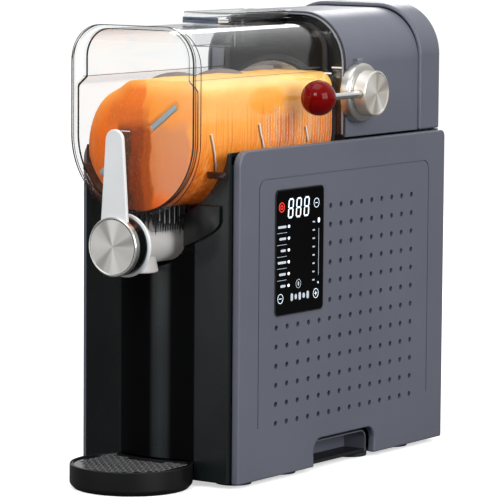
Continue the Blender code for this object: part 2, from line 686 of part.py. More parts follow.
def make_tap():
    y0, y1 = TAP_Y
    barrel = turned("tap_body", "grey", "Y", (0, 0, TAP_Z),
                    [(0, y1), (TAP_R - 2, y1), (TAP_R, y1 - 2), (TAP_R, y0), (TAP_BORE, y0),
                     (TAP_BORE, BORE_END), (0, BORE_END)], 28)
    nozzle = turned("nozzle", None, "Z", (0, OUTLET_Y - 4, 0),
                    [(0, 204), (13.5, 204), (14.5, 196), (16.5, 190), (16.5, 187), (0, 187)], 24)
    bore = rod("tap_bore", None, "Y", (0, 0, TAP_Z), TAP_BORE, y0 - 1, BORE_END, 28)
    flow = rod("tap_flow", None, "Z", (0, OUTLET_Y, 0), OUTLET_R, 180, 245)
    cut(join(barrel, nozzle), bore, flow)
    smooth(barrel)
    centre = (0, 0, TAP_Z)
    plug = turned("valve_plug", "grey", "Y", centre,
                  [(0, BORE_END - 0.4), (TAP_BORE - 0.3, BORE_END - 0.4), (TAP_BORE - 0.3, y0 + 0.3),
                   (6, y0 + 0.3), (6, DISC_Y[1] + GAP), (0, DISC_Y[1] + GAP)], 24)
    cut(plug, rod("plug_flow", None, "X", (0, OUTLET_Y, TAP_Z), OUTLET_R - 1, -30, 30))
    smooth(plug)
    ring("tap_flange_ring", "silver", "Y", centre, 6.4, 28.0, -220.6, -218.0, 32)
    ring("tap_spacer_ring", "black", "Y", centre, 6.4, 25.8, -231.6, -220.9, 32)
    disc = turned("tap_disc", "steel", "Y", centre,
                  [(0, DISC_Y[1]), (DISC_R, DISC_Y[1]), (DISC_R, DISC_Y[0] + 0.6), (DISC_R - 0.6, DISC_Y[0]),
                   (0, DISC_Y[0])], 36)
    lever = sheet("tap_lever", "silver", "XZ", *LEVER_Y, lever_outline(), arc(0, TAP_Z, 6.3, 0, -330, 11))
    for obj in (plug, disc, lever):
        pivot(baked(obj), (0, OUTLET_Y, TAP_Z))


def lever_outline():
    """Tapered handle: wide at the disc, narrow and rounded at the top."""
    half_low, half_top = LEVER_WIDE / 2, LEVER_NARROW / 2
    right = arc(0, TAP_Z, 22, -90, -20, 4) + [(half_low + 1.5, 233), (half_low, 247)]
    return mirrored(right + arc(0, LEVER_TOP - half_top, half_top, 8, 90, 4))


# ---------------------------------------------------------------- lock lever


def make_lock():
    centre = (0, *LOCK_YZ)
    x0, x1, x2 = LOCK_X
    turned("lock_ring", "silver", "X", centre,
           [(8.4, x1), (LOCK_RING_R - 2, x1), (LOCK_RING_R, x1 - 2), (LOCK_RING_R, x0), (8.4, x0)], 32)
    hub = turned("lock_hub", "steel", "X", centre,
                 [(0, x2), (LOCK_HUB_R - 0.8, x2), (LOCK_HUB_R, x2 - 0.8), (LOCK_HUB_R, x1 + GAP),
                  (0, x1 + GAP)], 32)
    socket = rod("rod_cut", None, "Y", (BALL[0], 0, BALL[2]), ROD_R + 0.3, 0, LOCK_YZ[0] - 8, 14)
    cut(hub, socket)
    spindle = rod("lock_spindle", "steel", "X", centre, 8.0, 70.0, x1, 16)
    stem = rod("lock_rod", "steel", "Y", (BALL[0], 0, BALL[2]), ROD_R, BALL[1] + 8, LOCK_YZ[0] - 8.3, 14)
    ball = make_ball()
    for obj in (hub, spindle, stem, ball):
        pivot(baked(obj), (BALL[0], *LOCK_YZ))


def make_ball():
    bm = bmesh.new()
    bmesh.ops.create_uvsphere(bm, u_segments=18, v_segments=12, radius=BALL_R * MM)
    bmesh.ops.translate(bm, vec=Vector(BALL) * MM, verts=bm.verts)
    mesh = bpy.data.meshes.new("lock_ball")
    bm.to_mesh(mesh)
    bm.free()
    ball = adopt(mesh, "lock_ball", "red")
    cut(ball, rod("ball_cut", None, "Y", (BALL[0], 0, BALL[2]), ROD_R + 0.3, BALL[1] + 7.7, BALL[1] + 30, 14))
    return smooth(ball)


# ---------------------------------------------------------------- drip tray


def make_tray():
    profile = [(0, 3), (TRAY_R - 3, 3), (TRAY_R - 3, 17.6), (TRAY_R - 1.8, 17.6), (TRAY_R - 1.8, TRAY_TOP)]
    profile += [(TRAY_R, TRAY_TOP), (TRAY_R, 4.5), (TRAY_R - 4, 0), (0, 0)]
    tray = turned("drip_tray", "black", "Z", (0, TRAY_Y, 0), profile, 36)
    back = sheet("tray_back", None, "XY", -2, 30, tray_clearance())
    wall = sheet("tray_wall", None, "XY", 0.0, TRAY_TOP, tray_rear_wall())
    cut(join(tray, baked(wall)), back)
    smooth(pivot(baked(tray), (0, TRAY_Y, 0)))
    make_grille()


def tray_clearance():
    """Everything behind the tray: the front face and its column, with a small gap."""
    grown = column_outline(0.6)[:-2]
    return [(-100, -150), (-100, COVER_FRONT - 0.6), *grown, (100, COVER_FRONT - 0.6), (100, -150)]


def tray_rear_wall():
    """A strip along the column that closes the tray's cut-off back."""
    ahead = [(u, v - 2.4) for u, v in column_outline(0.6)[:-2] if abs(u) < TRAY_R * 0.7]
    behind = [(u, v + 1.0) for u, v in reversed(ahead)]
    return ahead + [(u, v + 2.0) for u, v in behind]


def make_grille():
    radius = TRAY_R - 2.2
    disc = arc(0, TRAY_Y, radius, 0, 350, 35)
    holes = []
    half = GRILLE_HOLE / 2
    for column in range(-6, 7):
        for row in range(-3, 2):
            x, y = column * GRILLE_PITCH, TRAY_Y + (row * 2 + 0.75) * GRILLE_PITCH
            far = math.hypot(abs(x) + half, abs(y - TRAY_Y) + half * 3) > radius - 3
            if not far and y + half * 3 < column_front(x) - 4:
                holes.append((x, y))
    grille = sheet("drip_grille", "black", "XY", 17.9, 20.3, disc)
    cut(grille, drills("grille_slots", "XY", holes, half * math.sqrt(2), 16, 22, 2.7))
    back = [(u, v - 2.8) for u, v in column_outline(0.6)[:-2]]
    cut(grille, sheet("grille_back", None, "XY", 10, 30,
                      [(-100, -150), (-100, -176.3), *back, (100, -176.3), (100, -150)]))
    pivot(baked(grille), (0, TRAY_Y, 17.9))


def column_front(x):
    """Y of the column's front surface at x."""
    half, bulge = COLUMN_HALF, COLUMN_BULGE
    radius = (half**2 + bulge**2) / (2 * bulge)
    if abs(x) > half:
        return COVER_FRONT
    return COVER_FRONT - bulge + radius - math.sqrt(radius**2 - x**2)


# ---------------------------------------------------------------- controls


def make_controls():
    glass = sheet("control_glass", "glass_black", "YZ", PANEL_X + GAP, PANEL_X + 1.3,
                  round_rect(*GLASS_Y, *GLASS_Z, 4.0, 3))
    smooth(glass)
    box("control_board", "board", (79.9, GLASS_Y[0] + 3, GLASS_Z[0] + 3),
        (81.7, GLASS_Y[1] - 3, GLASS_Z[1] - 3))


make_base()
make_front()
make_tower()
make_evaporator()
make_auger()
make_drive()
make_refrigeration()
make_vessel()
make_hatch()
make_tap()
make_lock()
make_tray()
make_controls()
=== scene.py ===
import math

import bmesh
import bpy
from mathutils import Matrix, Vector, noise


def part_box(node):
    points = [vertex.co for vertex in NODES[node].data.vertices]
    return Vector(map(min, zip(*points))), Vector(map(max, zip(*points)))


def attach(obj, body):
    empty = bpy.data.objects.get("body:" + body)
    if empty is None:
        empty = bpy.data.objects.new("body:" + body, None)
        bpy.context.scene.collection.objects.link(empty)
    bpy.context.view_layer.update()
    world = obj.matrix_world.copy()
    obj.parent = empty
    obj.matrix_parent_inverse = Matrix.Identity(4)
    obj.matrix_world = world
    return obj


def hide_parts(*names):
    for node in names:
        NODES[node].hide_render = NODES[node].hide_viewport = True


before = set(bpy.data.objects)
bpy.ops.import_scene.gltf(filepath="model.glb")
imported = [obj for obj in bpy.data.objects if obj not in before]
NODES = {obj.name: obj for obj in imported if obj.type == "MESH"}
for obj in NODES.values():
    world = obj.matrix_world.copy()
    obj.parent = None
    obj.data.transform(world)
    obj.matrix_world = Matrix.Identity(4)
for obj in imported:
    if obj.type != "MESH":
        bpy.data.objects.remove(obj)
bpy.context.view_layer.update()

MM = 0.001

# The machine's own axes, in millimetres, read from the model: X from the mid-plane, Y from the
# side panel's front edge, Z from the table.
_panel, _tray, _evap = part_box("side_panel_right"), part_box("drip_tray"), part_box("evaporator")
ORIGIN = Vector(((_tray[0].x + _tray[1].x) / 2, _panel[0].y + 0.1678, 0.0))
AXIS_Z = (_evap[0].z + _evap[1].z) / 2 / MM
AXIS = (0, 0, AXIS_Z)


def at(x, y, z):
    """A point of the machine frame, in metres of the row frame."""
    return ORIGIN + Vector((x, y, z)) * MM


# ---------------------------------------------------------------- materials


class Graph:
    """A small helper round the node tree of a material or the world."""

    def __init__(self, owner, shader):
        owner.use_nodes = True
        self.tree = owner.node_tree
        self.shader = self.tree.nodes[shader]
        self.coord = self.add("ShaderNodeTexCoord")

    def add(self, kind, **inputs):
        node = self.tree.nodes.new(kind)
        self.put(node, **inputs)
        return node

    def put(self, node, **inputs):
        for key, value in inputs.items():
            self.plug(node.inputs[key.replace("_", " ")], value)

    def plug(self, socket, value):
        """Links a node's output to the socket, or sets a plain value."""
        if isinstance(value, bpy.types.NodeSocket):
            self.tree.links.new(value, socket)
        else:
            socket.default_value = (*value, 1.0) if socket.type == "RGBA" else value

    def split(self, output="Object"):
        return self.add("ShaderNodeSeparateXYZ", Vector=self.coord.outputs[output]).outputs

    def scaled(self, scale):
        return self.add("ShaderNodeMapping", Vector=self.coord.outputs["Object"], Scale=scale).outputs[0]

    def noise(self, scale, detail=3.0, rough=0.5, stretch=(1, 1, 1)):
        where = self.scaled(tuple(s * scale for s in stretch))
        node = self.add("ShaderNodeTexNoise", Vector=where, Scale=1.0, Detail=detail, Roughness=rough)
        return node.outputs["Fac"]

    def ramp(self, fac, *stops):
        node = self.add("ShaderNodeValToRGB", Fac=fac)
        elements = node.color_ramp.elements
        while len(elements) < len(stops):
            elements.new(0.5)
        for element, (pos, colour) in zip(elements, stops):
            element.position = pos
            element.color = (*colour, 1.0)
        return node.outputs["Color"]

    def remap(self, fac, low, high, start=0.0, end=1.0):
        return self.add("ShaderNodeMapRange", Value=fac, From_Min=start, From_Max=end,
                        To_Min=low, To_Max=high).outputs[0]

    def math(self, op, a, b=0.0):
        node = self.tree.nodes.new("ShaderNodeMath")
        node.operation = op
        return self.filled(node, (0, a), (1, b))

    def times(self, *factors):
        total = factors[0]
        for factor in factors[1:]:
            total = self.math("MULTIPLY", total, factor)
        return total

    def mix(self, fac, a, b):
        """A mix of two colours."""
        node = self.tree.nodes.new("ShaderNodeMix")
        node.data_type = "RGBA"
        return self.filled(node, (0, fac), (6, a), (7, b), output=2)

    def blend(self, share, first, second):
        """A mix of two shaders."""
        node = self.tree.nodes.new("ShaderNodeMixShader")
        return self.filled(node, (0, share), (1, first), (2, second))

    def filled(self, node, *values, output=0):
        for index, value in values:
            self.plug(node.inputs[index], value)
        return node.outputs[output]

    def bump(self, height, strength, distance=0.0001):
        return self.add("ShaderNodeBump", Height=height, Strength=strength, Distance=distance).outputs[0]


class Nodes(Graph):
    """A new material."""

    def __init__(self, name):
        self.mat = bpy.data.materials.new(name)
        super().__init__(self.mat, "Principled BSDF")

    def finish(self, colour, roughness, normal=None, **values):
        if normal is not None:
            values["Normal"] = normal
        self.put(self.shader, Base_Color=colour, Roughness=roughness, **values)
        return self.mat


def shade(colour, factor):
    """A darker or lighter tone of the colour."""
    return tuple(min(1, c * factor) for c in colour)


def place(index, *values):
    """Coordinates of the machine frame along one axis, in metres of the row frame."""
    return [at(*(value if i == index else 0 for i in range(3)))[index] for value in values]


def paint(name, colour, rough=0.38):
    """Satin powder coat: fine orange peel and a faint cloudiness."""
    n = Nodes(name)
    tone = n.mix(n.remap(n.noise(9.0, 4.0), 0.0, 1.0, 0.3, 0.7), shade(colour, 0.94), shade(colour, 1.05))
    fleck = n.remap(n.noise(2400.0, 1.0), 0.0, 0.25, 0.6, 0.72)
    tone = n.mix(fleck, tone, shade(colour, 1.7))
    return n.finish(tone, n.remap(n.noise(60.0, 4.0), rough - 0.06, rough + 0.08),
                    n.bump(n.noise(1400.0, 2.0), 0.10), Metallic=0.1, Specular_IOR_Level=0.4)


def smears(n, low, high):
    """Roughness with the marks that handling leaves."""
    return n.remap(n.noise(22.0, 6.0, 0.6, (1, 1, 0.3)), low, high, 0.3, 0.7)


def plastic(name, colour, rough=0.4, grain=900.0, depth=0.15, coat=0.0, speck=0.0, gloss=0.5, lit=0.0):
    """Moulded plastic: fine spark-eroded grain, handling smears in the gloss, faint tone drift, and a painted
    glow where lit is given.
    """
    n = Nodes(name)
    tone = n.mix(n.noise(14.0, 5.0), shade(colour, 0.86), shade(colour, 1.14))
    if speck:
        fleck = n.remap(n.noise(2600.0, 1.0), 0, 1, 0.62, 0.7)
        tone = n.mix(n.times(fleck, speck), tone, (0.9, 0.92, 0.95))
    return n.finish(tone, smears(n, rough - 0.08, rough + 0.1), n.bump(n.noise(grain, 2.0), depth),
                    Coat_Weight=coat, Coat_Roughness=0.06, Specular_IOR_Level=gloss,
                    Emission_Color=colour, Emission_Strength=lit)


def window(n, value, low, high, soft):
    """1 between low and high, falling to 0 over the soft width on each side."""
    return n.times(n.remap(value, 0.0, 1.0, low - soft, low + soft),
                   n.remap(value, 1.0, 0.0, high - soft, high + soft))


def painted_sheen_bands(name, dark, pale, bands):
    """Black moulded front: deep black with soft upright bands of painted reflection.

    Each band is the x it runs from and to, the width it fades over and its strength.
    """
    n = Nodes(name)
    across, share = n.split()[0], 0.0
    for x0, x1, soft, level in bands:
        share = n.math("ADD", share, n.times(window(n, across, *place(0, x0, x1), soft * MM), level))
    tone = n.mix(n.noise(14.0, 5.0), n.mix(share, dark, pale), dark)
    return n.finish(tone, smears(n, 0.2, 0.34), n.bump(n.noise(700.0, 2.0), 0.05),
                    Specular_IOR_Level=n.remap(share, 0.06, 0.5, 0.0, 0.3))


def brushed(name, colour, axis, centre, wedges, rough=0.3):
    """Turned metal face: fine concentric lines, with the wedge-shaped sheen of a turned face painted into the
    colour.

    Each painted wedge is a heading and a spread in degrees and a strength: a painted highlight where it's
    positive, painted shade where it's negative.
    """
    n = Nodes(name)
    u, v = [i for i in range(3) if i != axis]
    sep = n.split()
    du, dv = (n.math("SUBTRACT", sep[i], centre[i]) for i in (u, v))
    radius = n.math("SQRT", n.math("ADD", n.times(du, du), n.times(dv, dv)))
    angle = n.math("ARCTAN2", dv, du)
    turned = n.add("ShaderNodeCombineXYZ", X=n.times(radius, 5200.0), Y=n.times(angle, 0.6))
    lines = n.add("ShaderNodeTexNoise", Vector=turned.outputs[0], Scale=1.0).outputs["Fac"]
    # A painted sheen that brightens and darkens five times round the centre.
    painted_wave = n.remap(n.math("SINE", n.times(angle, 5.0)), 0.0, 1.0, -1.0, 1.0)
    tone = n.mix(painted_wave, shade(colour, 0.88), colour)
    for heading, spread, pull in wedges:
        near = n.math("COSINE", n.math("SUBTRACT", angle, math.radians(heading)))
        share = n.remap(near, 0.0, abs(pull), math.cos(math.radians(spread)), 1.0)
        tone = n.mix(share, tone, (1.0, 0.99, 0.96) if pull > 0 else shade(colour, 0.35))
    tone = n.mix(n.times(lines, 0.25), tone, shade(colour, 0.45))
    return n.finish(tone, n.remap(lines, rough - 0.08, rough + 0.14), n.bump(lines, 0.25, 0.00005),
                    Metallic=0.5, Anisotropic=0.6)


def drawn_metal(name, colour, rough=0.28, stretch=(1, 1, 0.02)):
    """Drawn or rolled metal with fine lines one way and a little dulling."""
    n = Nodes(name)
    lines = n.noise(2200.0, 3.0, 0.6, stretch)
    tone = n.mix(n.noise(25.0, 5.0), shade(colour, 0.8), colour)
    tone = n.mix(n.times(lines, 0.3), tone, shade(colour, 0.6))
    return n.finish(tone, n.remap(lines, rough - 0.08, rough + 0.12), n.bump(lines, 0.15, 0.00005),
                    Metallic=1.0)


def clear(name, tint=(0.992, 0.996, 0.996), shine=1.0, rough=0.03, haze=0.0, body=(0.8, 0.82, 0.83)):
    """Clear moulded plastic: see-through face on, mirror-like at a glance, with faint flow lines."""
    n = Nodes(name)
    flow = n.noise(55.0, 3.0, 0.5, (1, 0.25, 1))
    glance = n.add("ShaderNodeLayerWeight", Blend=0.5).outputs["Facing"]
    n.finish((0.95, 0.96, 0.97), n.remap(flow, rough, rough + 0.05), n.bump(flow, 0.10, 0.0005), Metallic=1.0)
    see = n.add("ShaderNodeBsdfTransparent", Color=n.mix(n.remap(flow, 0.0, 0.3), tint, shade(tint, 0.97)))
    dull = n.add("ShaderNodeBsdfDiffuse", Color=body)
    veil = n.blend(n.remap(glance, haze, min(1.0, haze * 1.6)), see.outputs[0], dull.outputs[0])
    mirror = n.remap(n.math("POWER", glance, 4.0), 0.028 * shine, 0.85 * min(shine, 1.0))
    surface = n.blend(mirror, veil, n.shader.outputs[0])
    n.put(n.tree.nodes["Material Output"], Surface=surface)
    return n.mat


# Painted light and shade on the slush's front, the tap lever's shadow and reflection and the orange round
# them, in order: x from and to, z from and to, colour and strength.
SLUSH_FRONT_PAINTED_LIGHT = (
    (-90, 9, 300, 352, (0.88, 0.155, 0.004), 0.85),
    (9, 70, 318, 346, (1.0, 0.26, 0.02), 0.5),
    (-30, 16, 316, 333, (0.62, 0.13, 0.02), 0.55),
    (17, 55, 255, 320, (0.66, 0.24, 0.10), 0.75),
    (-15, 17, 225, 318, (0.26, 0.035, 0.003), 0.92),
    (-14, -4, 225, 316, (0.05, 0.030, 0.018), 0.8),
    (9, 18, 225, 316, (0.50, 0.09, 0.006), 0.6),
    (-90, -20, 225, 310, (0.78, 0.13, 0.006), 0.7),
)
# Shaded spots along its side: y from and to, z from and to, and strength.
SLUSH_SIDE = ((-80, -50, 290, 324, 0.7), (-28, 8, 285, 318, 0.5))


def slush(name):
    """Granular orange ice: pale near the top and right, deep orange low down, with the tap lever's shadow and
    reflection painted on its front.
    """
    n = Nodes(name)
    x, y, z = n.split()
    swirl = n.noise(26.0, 5.0, 0.6, (1, 0.45, 1))
    level = n.math("ADD", n.times(n.remap(z, 0.0, 1.0, *place(2, 245, 356)), 0.80),
                   n.times(n.remap(x, 0.0, 1.0, *place(0, -60, 62)), 0.22))
    level = n.math("ADD", level, n.remap(swirl, -0.12, 0.12, 0.25, 0.75))
    tone = n.ramp(level, (0.0, (0.50, 0.045, 0.001)), (0.25, (0.80, 0.13, 0.004)),
                  (0.5, (0.95, 0.24, 0.015)), (0.78, (1.0, 0.40, 0.05)), (1.0, (1.0, 0.60, 0.17)))
    wobble = n.remap(n.noise(30.0, 2.0), -0.004, 0.004, 0.3, 0.7)
    across, up = n.math("ADD", x, wobble), n.math("ADD", z, wobble)
    front = n.remap(y, 1.0, 0.0, *place(1, -203, -190))
    # The tap lever's painted shadow and reflection on the front face.
    for x0, x1, z0, z1, colour, share in SLUSH_FRONT_PAINTED_LIGHT:
        inside = n.times(window(n, across, *place(0, x0, x1), 0.0012),
                         window(n, up, *place(2, z0, z1), 0.006))
        tone = n.mix(n.times(inside, front, share), tone, colour)
    for y0, y1, z0, z1, share in SLUSH_SIDE:
        inside = n.times(window(n, y, *place(1, y0, y1), 0.004), window(n, up, *place(2, z0, z1), 0.006))
        tone = n.mix(n.times(inside, share), tone, (0.62, 0.12, 0.01))
    streak = n.noise(330.0, 2.0, 0.6, (1, 1, 0.03))
    low = n.times(n.remap(z, 1.0, 0.0, *place(2, 318, 338)), n.math("SUBTRACT", 1.0, front))
    tone = n.mix(n.times(low, n.remap(streak, 0.0, 0.45, 0.5, 0.7)), tone, (1.0, 0.62, 0.25))
    tone = n.mix(n.times(low, n.remap(streak, 0.45, 0.0, 0.3, 0.46)), tone, (0.55, 0.06, 0.002))
    grit = n.noise(420.0, 4.0, 0.7)
    tone = n.mix(n.remap(grit, 0.0, 0.12, 0.5, 0.75), tone, (1.0, 0.85, 0.45))
    # Emission in the slush's own colour: a painted glow that brightens it.
    return n.finish(tone, n.remap(grit, 0.35, 0.6), n.bump(grit, 0.25, 0.0006), Subsurface_Weight=0.1,
                    Subsurface_Radius=(0.012, 0.005, 0.001), Subsurface_Scale=1.0, Emission_Color=tone,
                    Emission_Strength=0.22, Specular_IOR_Level=0.25)


def glow(name, colour, strength):
    """Lit marking with the slight unevenness of a backlight behind a mask."""
    n = Nodes(name)
    tone = n.mix(n.noise(300.0, 2.0), shade(colour, 0.8), colour)
    return n.finish(tone, 0.4, Emission_Color=tone, Emission_Strength=strength)


def board(name):
    """Green circuit board with copper tracks under the mask."""
    n = Nodes(name)
    brick = n.add("ShaderNodeTexBrick", Vector=n.scaled((90.0, 140.0, 170.0)), Color1=(0.01, 0.09, 0.03),
                  Color2=(0.012, 0.12, 0.04), Mortar=(0.05, 0.3, 0.1))
    tone = n.mix(n.noise(160.0, 3.0), brick.outputs["Color"], (0.01, 0.07, 0.03))
    return n.finish(tone, n.remap(n.noise(300.0, 2.0), 0.25, 0.5), n.bump(brick.outputs["Fac"], 0.3))


def rubber(name, colour=(0.02, 0.02, 0.021)):
    """Matt rubber with a dusty bloom and a fine moulded grain."""
    n = Nodes(name)
    bloom = tuple(c * 2.6 + 0.01 for c in colour)
    tone = n.mix(n.remap(n.noise(40.0, 6.0), 0.0, 0.5, 0.45, 0.8), colour, bloom)
    return n.finish(tone, n.remap(n.noise(90.0, 3.0), 0.65, 0.9), n.bump(n.noise(1500.0, 2.0), 0.3))


BLUE_GREY = (0.128, 0.137, 0.172)
MATS = {
    "case": paint("case_paint", BLUE_GREY),
    "case_edge": paint("case_paint_edge", shade(BLUE_GREY, 1.12), 0.32),
    "black": plastic("black_plastic", (0.0022, 0.0024, 0.0026), 0.2, 700.0, 0.05, gloss=0.42),
    "black_edge": plastic("black_plastic_edge", (0.006, 0.0064, 0.007), 0.28, 700.0, 0.08, gloss=0.45),
    "inside": plastic("shaded_inside", (0.0035, 0.0036, 0.004), 0.6, 800.0, 0.2, gloss=0.15),
    "tray_black": plastic("tray_plastic", (0.005, 0.005, 0.0054), 0.36, 900.0, 0.15, gloss=0.35),
    "grille_black": plastic("grille_plastic", (0.007, 0.007, 0.0075), 0.16, 700.0, 0.05, gloss=0.5),
    # Pale grey for the slot rims: a painted glint.
    "grille_edge": plastic("grille_slot_edge", (0.30, 0.30, 0.31), 0.3, 700.0, 0.05, gloss=0.6),
    "dark": plastic("dark_plastic", (0.016, 0.0165, 0.020), 0.5, 800.0, 0.2, gloss=0.25),
    "shade": plastic("shaded_wall", (0.006, 0.006, 0.0066), 0.55, 800.0, 0.2, gloss=0.2),
    "clear": clear("clear_plastic", rough=0.07),
    "slush": slush("orange_slush"),
    "glass": plastic("touch_glass", (0.0006, 0.0006, 0.0008), 0.10, 300.0, 0.01, 0.0, gloss=0.10),
    # The grey plastic glows faintly: painted light that keeps the tap barrel pale deep in the front's recess.
    "grey": plastic("grey_plastic", (0.56, 0.545, 0.53), 0.36, 700.0, 0.12, lit=0.10),
    "silver": plastic("silver_plastic", (0.78, 0.80, 0.81), 0.34, 1200.0, 0.08, 0.1, 0.6),
    "bright": drawn_metal("bright_rim", (0.86, 0.86, 0.84), 0.16),
    "satin": drawn_metal("satin_band", (0.90, 0.89, 0.86), 0.38, (1, 0.03, 1)),
    "chrome": drawn_metal("chrome_collar", (0.66, 0.65, 0.62), 0.32, (0.03, 1, 1)),
    "steel": drawn_metal("stainless", (0.60, 0.59, 0.57), 0.26, (1, 0.02, 1)),
    "rod": drawn_metal("polished_rod", (0.80, 0.80, 0.78), 0.14, (1, 0.02, 1)),
    "auger": plastic("auger_plastic", (0.25, 0.22, 0.215), 0.3, 600.0, 0.1, 0.3),
    "bar": plastic("wiper_plastic", (0.33, 0.47, 0.54), 0.35, 600.0, 0.1, 0.3),
    "red": plastic("red_knob", (0.15, 0.0003, 0.0004), 0.08, 300.0, 0.01, 0.0, gloss=0.16),
    "rubber": rubber("foot_rubber"),
    "silicone": rubber("silicone", (0.03, 0.03, 0.034)),
    "copper": drawn_metal("copper_tube", (0.72, 0.32, 0.17), 0.3, (1, 1, 0.05)),
    "alu": drawn_metal("cast_alloy", (0.62, 0.62, 0.63), 0.42, (0.1, 1, 1)),
    "screw": drawn_metal("plated_screw", (0.55, 0.55, 0.56), 0.3, (1, 1, 1)),
    "motor": paint("motor_paint", (0.05, 0.052, 0.06), 0.5),
    "board": board("circuit_board"),
    "lit_white": glow("lit_white", (0.78, 0.9, 1.0), 1.0),
    "lit_dim": glow("lit_dim", (0.5, 0.56, 0.62), 0.45),
    "lit_red": glow("lit_red", (1.0, 0.05, 0.03), 0.9),
}
# Plastic that is tinted or milky: tint, shine, roughness, then haze and its colour.
TINTED = {
    "clear_edge": ((0.16, 0.17, 0.18), 1.6, 0.06),
    "clear_line": ((0.55, 0.56, 0.58), 1.2, 0.06),
    "clear_smoke": ((0.30, 0.33, 0.37), 2.0, 0.05),
    "clear_lug": ((0.22, 0.14, 0.10), 1.5, 0.08, 0.05, (0.25, 0.14, 0.08)),
    "clear_neck": ((0.85, 0.86, 0.87), 2.0, 0.05, 0.04, (0.5, 0.5, 0.5)),
    "clear_white": ((0.95, 0.93, 0.9), 1.0, 0.2, 0.35, (0.98, 0.90, 0.80)),
    "clear_grey": ((0.6, 0.63, 0.68), 2.0, 0.06, 0.7, (0.36, 0.39, 0.46)),
    "clear_blue": ((0.4, 0.45, 0.55), 2.0, 0.05, 0.35, (0.16, 0.19, 0.26)),
    "clear_light": ((0.9, 0.9, 0.9), 1.5, 0.08, 0.85, (0.98, 0.98, 0.97)),
}
MATS.update((name, clear(name, *look)) for name, look in TINTED.items())
tap_centre, lock_centre = (sum(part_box(node), Vector()) / 2 for node in ("tap_disc", "lock_hub"))
# Painted sheen and shade of the two turned faces: heading, spread in degrees and strength of each wedge.
TAP_PAINTED_SHEEN = ((88, 20, 1.0), (118, 16, -0.6), (17, 16, -0.75), (-83, 19, 1.0), (-128, 17, -0.65),
              (180, 38, 0.5))
LOCK_PAINTED_SHEEN = ((-62, 13, 1.0), (25, 22, -0.7), (85, 16, -0.6), (140, 34, 0.7), (-150, 26, -0.4),
               (-98, 18, -0.6))
# The pale bands on the black front are painted reflections.
MATS["front"] = painted_sheen_bands("front_black_painted_sheen", (0.0016, 0.0017, 0.0018), (0.030, 0.044, 0.048),
                       ((-80, -37, 0.4, 0.16), (5, 15, 6.0, 0.85), (42, 80, 0.6, 0.34)))
MATS["front_edge"] = MATS["black_edge"]
MATS["tap_face"] = brushed("tap_face", (0.80, 0.78, 0.74), 1, tap_centre, TAP_PAINTED_SHEEN)
MATS["lock_face"] = brushed("lock_face", (0.80, 0.75, 0.67), 0, lock_centre, LOCK_PAINTED_SHEEN)


# ---------------------------------------------------------------- building helpers


def finish_mesh(mesh, angle=32.0):
    mesh.shade_smooth()
    mesh.set_sharp_from_angle(angle=math.radians(angle))


def holder(name, data):
    obj = bpy.data.objects.new(name, data)
    bpy.context.scene.collection.objects.link(obj)
    return obj


def from_bm(name, bm):
    mesh = bpy.data.meshes.new(name)
    bm.to_mesh(mesh)
    bm.free()
    return holder(name, mesh)


def closed(name, bm):
    """A closed shape with all its faces turned outwards."""
    bmesh.ops.recalc_face_normals(bm, faces=bm.faces)
    return from_bm(name, bm)


def evaluated(obj):
    """The object's mesh with its modifiers or curve settings applied."""
    graph = bpy.context.evaluated_depsgraph_get()
    return bpy.data.meshes.new_from_object(obj.evaluated_get(graph))


def bake(obj):
    mesh = evaluated(obj)
    obj.modifiers.clear()
    obj.data = mesh


def piece(obj, mat, body, slot=None, nodes=(), angle=32.0):
    """Gives a finished shape its material and its place in the model."""
    obj.data.materials.clear()
    obj.data.materials.append(MATS[mat])
    if mat + "_edge" in MATS and "edge_faces" in obj:
        obj.data.materials.append(MATS[mat + "_edge"])
        del obj["edge_faces"]
    else:
        for polygon in obj.data.polygons:
            polygon.material_index = 0
    finish_mesh(obj.data, angle)
    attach(obj, body)
    if nodes:
        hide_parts(*nodes)
    return obj


def vessel_piece(obj, mat="clear", *nodes):
    return piece(obj, mat, "vessel", "clear_plastic", nodes)


def case_piece(obj, *nodes):
    return piece(obj, "case", "chassis", "case", nodes)


def black_piece(obj, mat, *nodes):
    return piece(obj, mat, "chassis", "black", nodes)


def bevel(obj, width, segments=3, angle=35.0, even=True):
    """Rounds the edges; the new faces take the second material."""
    mod = obj.modifiers.new("edge", "BEVEL")
    mod.width = width * MM
    mod.segments = segments
    mod.limit_method = "ANGLE"
    mod.angle_limit = math.radians(angle)
    mod.material = 1
    obj.data.materials.clear()
    for mat in ("black", "black_edge"):
        obj.data.materials.append(MATS[mat])
    obj["edge_faces"] = 1
    bake(obj)
    return weigh(obj) if even else obj


def weigh(obj):
    """Flat faces keep flat shading beside rounded edges."""
    finish_mesh(obj.data, 40.0)
    mod = obj.modifiers.new("even", "WEIGHTED_NORMAL")
    mod.keep_sharp = True
    return obj


def cut(obj, other, solver="EXACT"):
    mod = obj.modifiers.new("cut", "BOOLEAN")
    mod.operation = "DIFFERENCE"
    mod.object = other
    mod.solver = solver
    bake(obj)
    bpy.data.objects.remove(other, do_unlink=True)


def arc(cx, cy, radius, start, end, steps):
    angles = [math.radians(start + (end - start) * i / steps) for i in range(steps + 1)]
    return [(cx + radius * math.cos(a), cy + radius * math.sin(a)) for a in angles]


def circle(cx, cy, radius, sides):
    return arc(cx, cy, radius, 0, 360 - 360 / sides, sides - 1)


def mirrored(right_half):
    """A closed loop from its right half."""
    return right_half + [(-u, v) for u, v in reversed(right_half) if abs(u) > 1e-6]


def round_rect(u0, u1, v0, v1, radius, steps=6):
    corners = [(u1 - radius, v0 + radius, -90), (u1 - radius, v1 - radius, 0)]
    corners += [(u0 + radius, v1 - radius, 90), (u0 + radius, v0 + radius, 180)]
    return [p for cu, cv, a in corners for p in arc(cu, cv, radius, a, a + 90, steps)]


def box_outline(u, v, half, radius, steps=2):
    return round_rect(u - half, u + half, v - half, v + half, radius, steps)


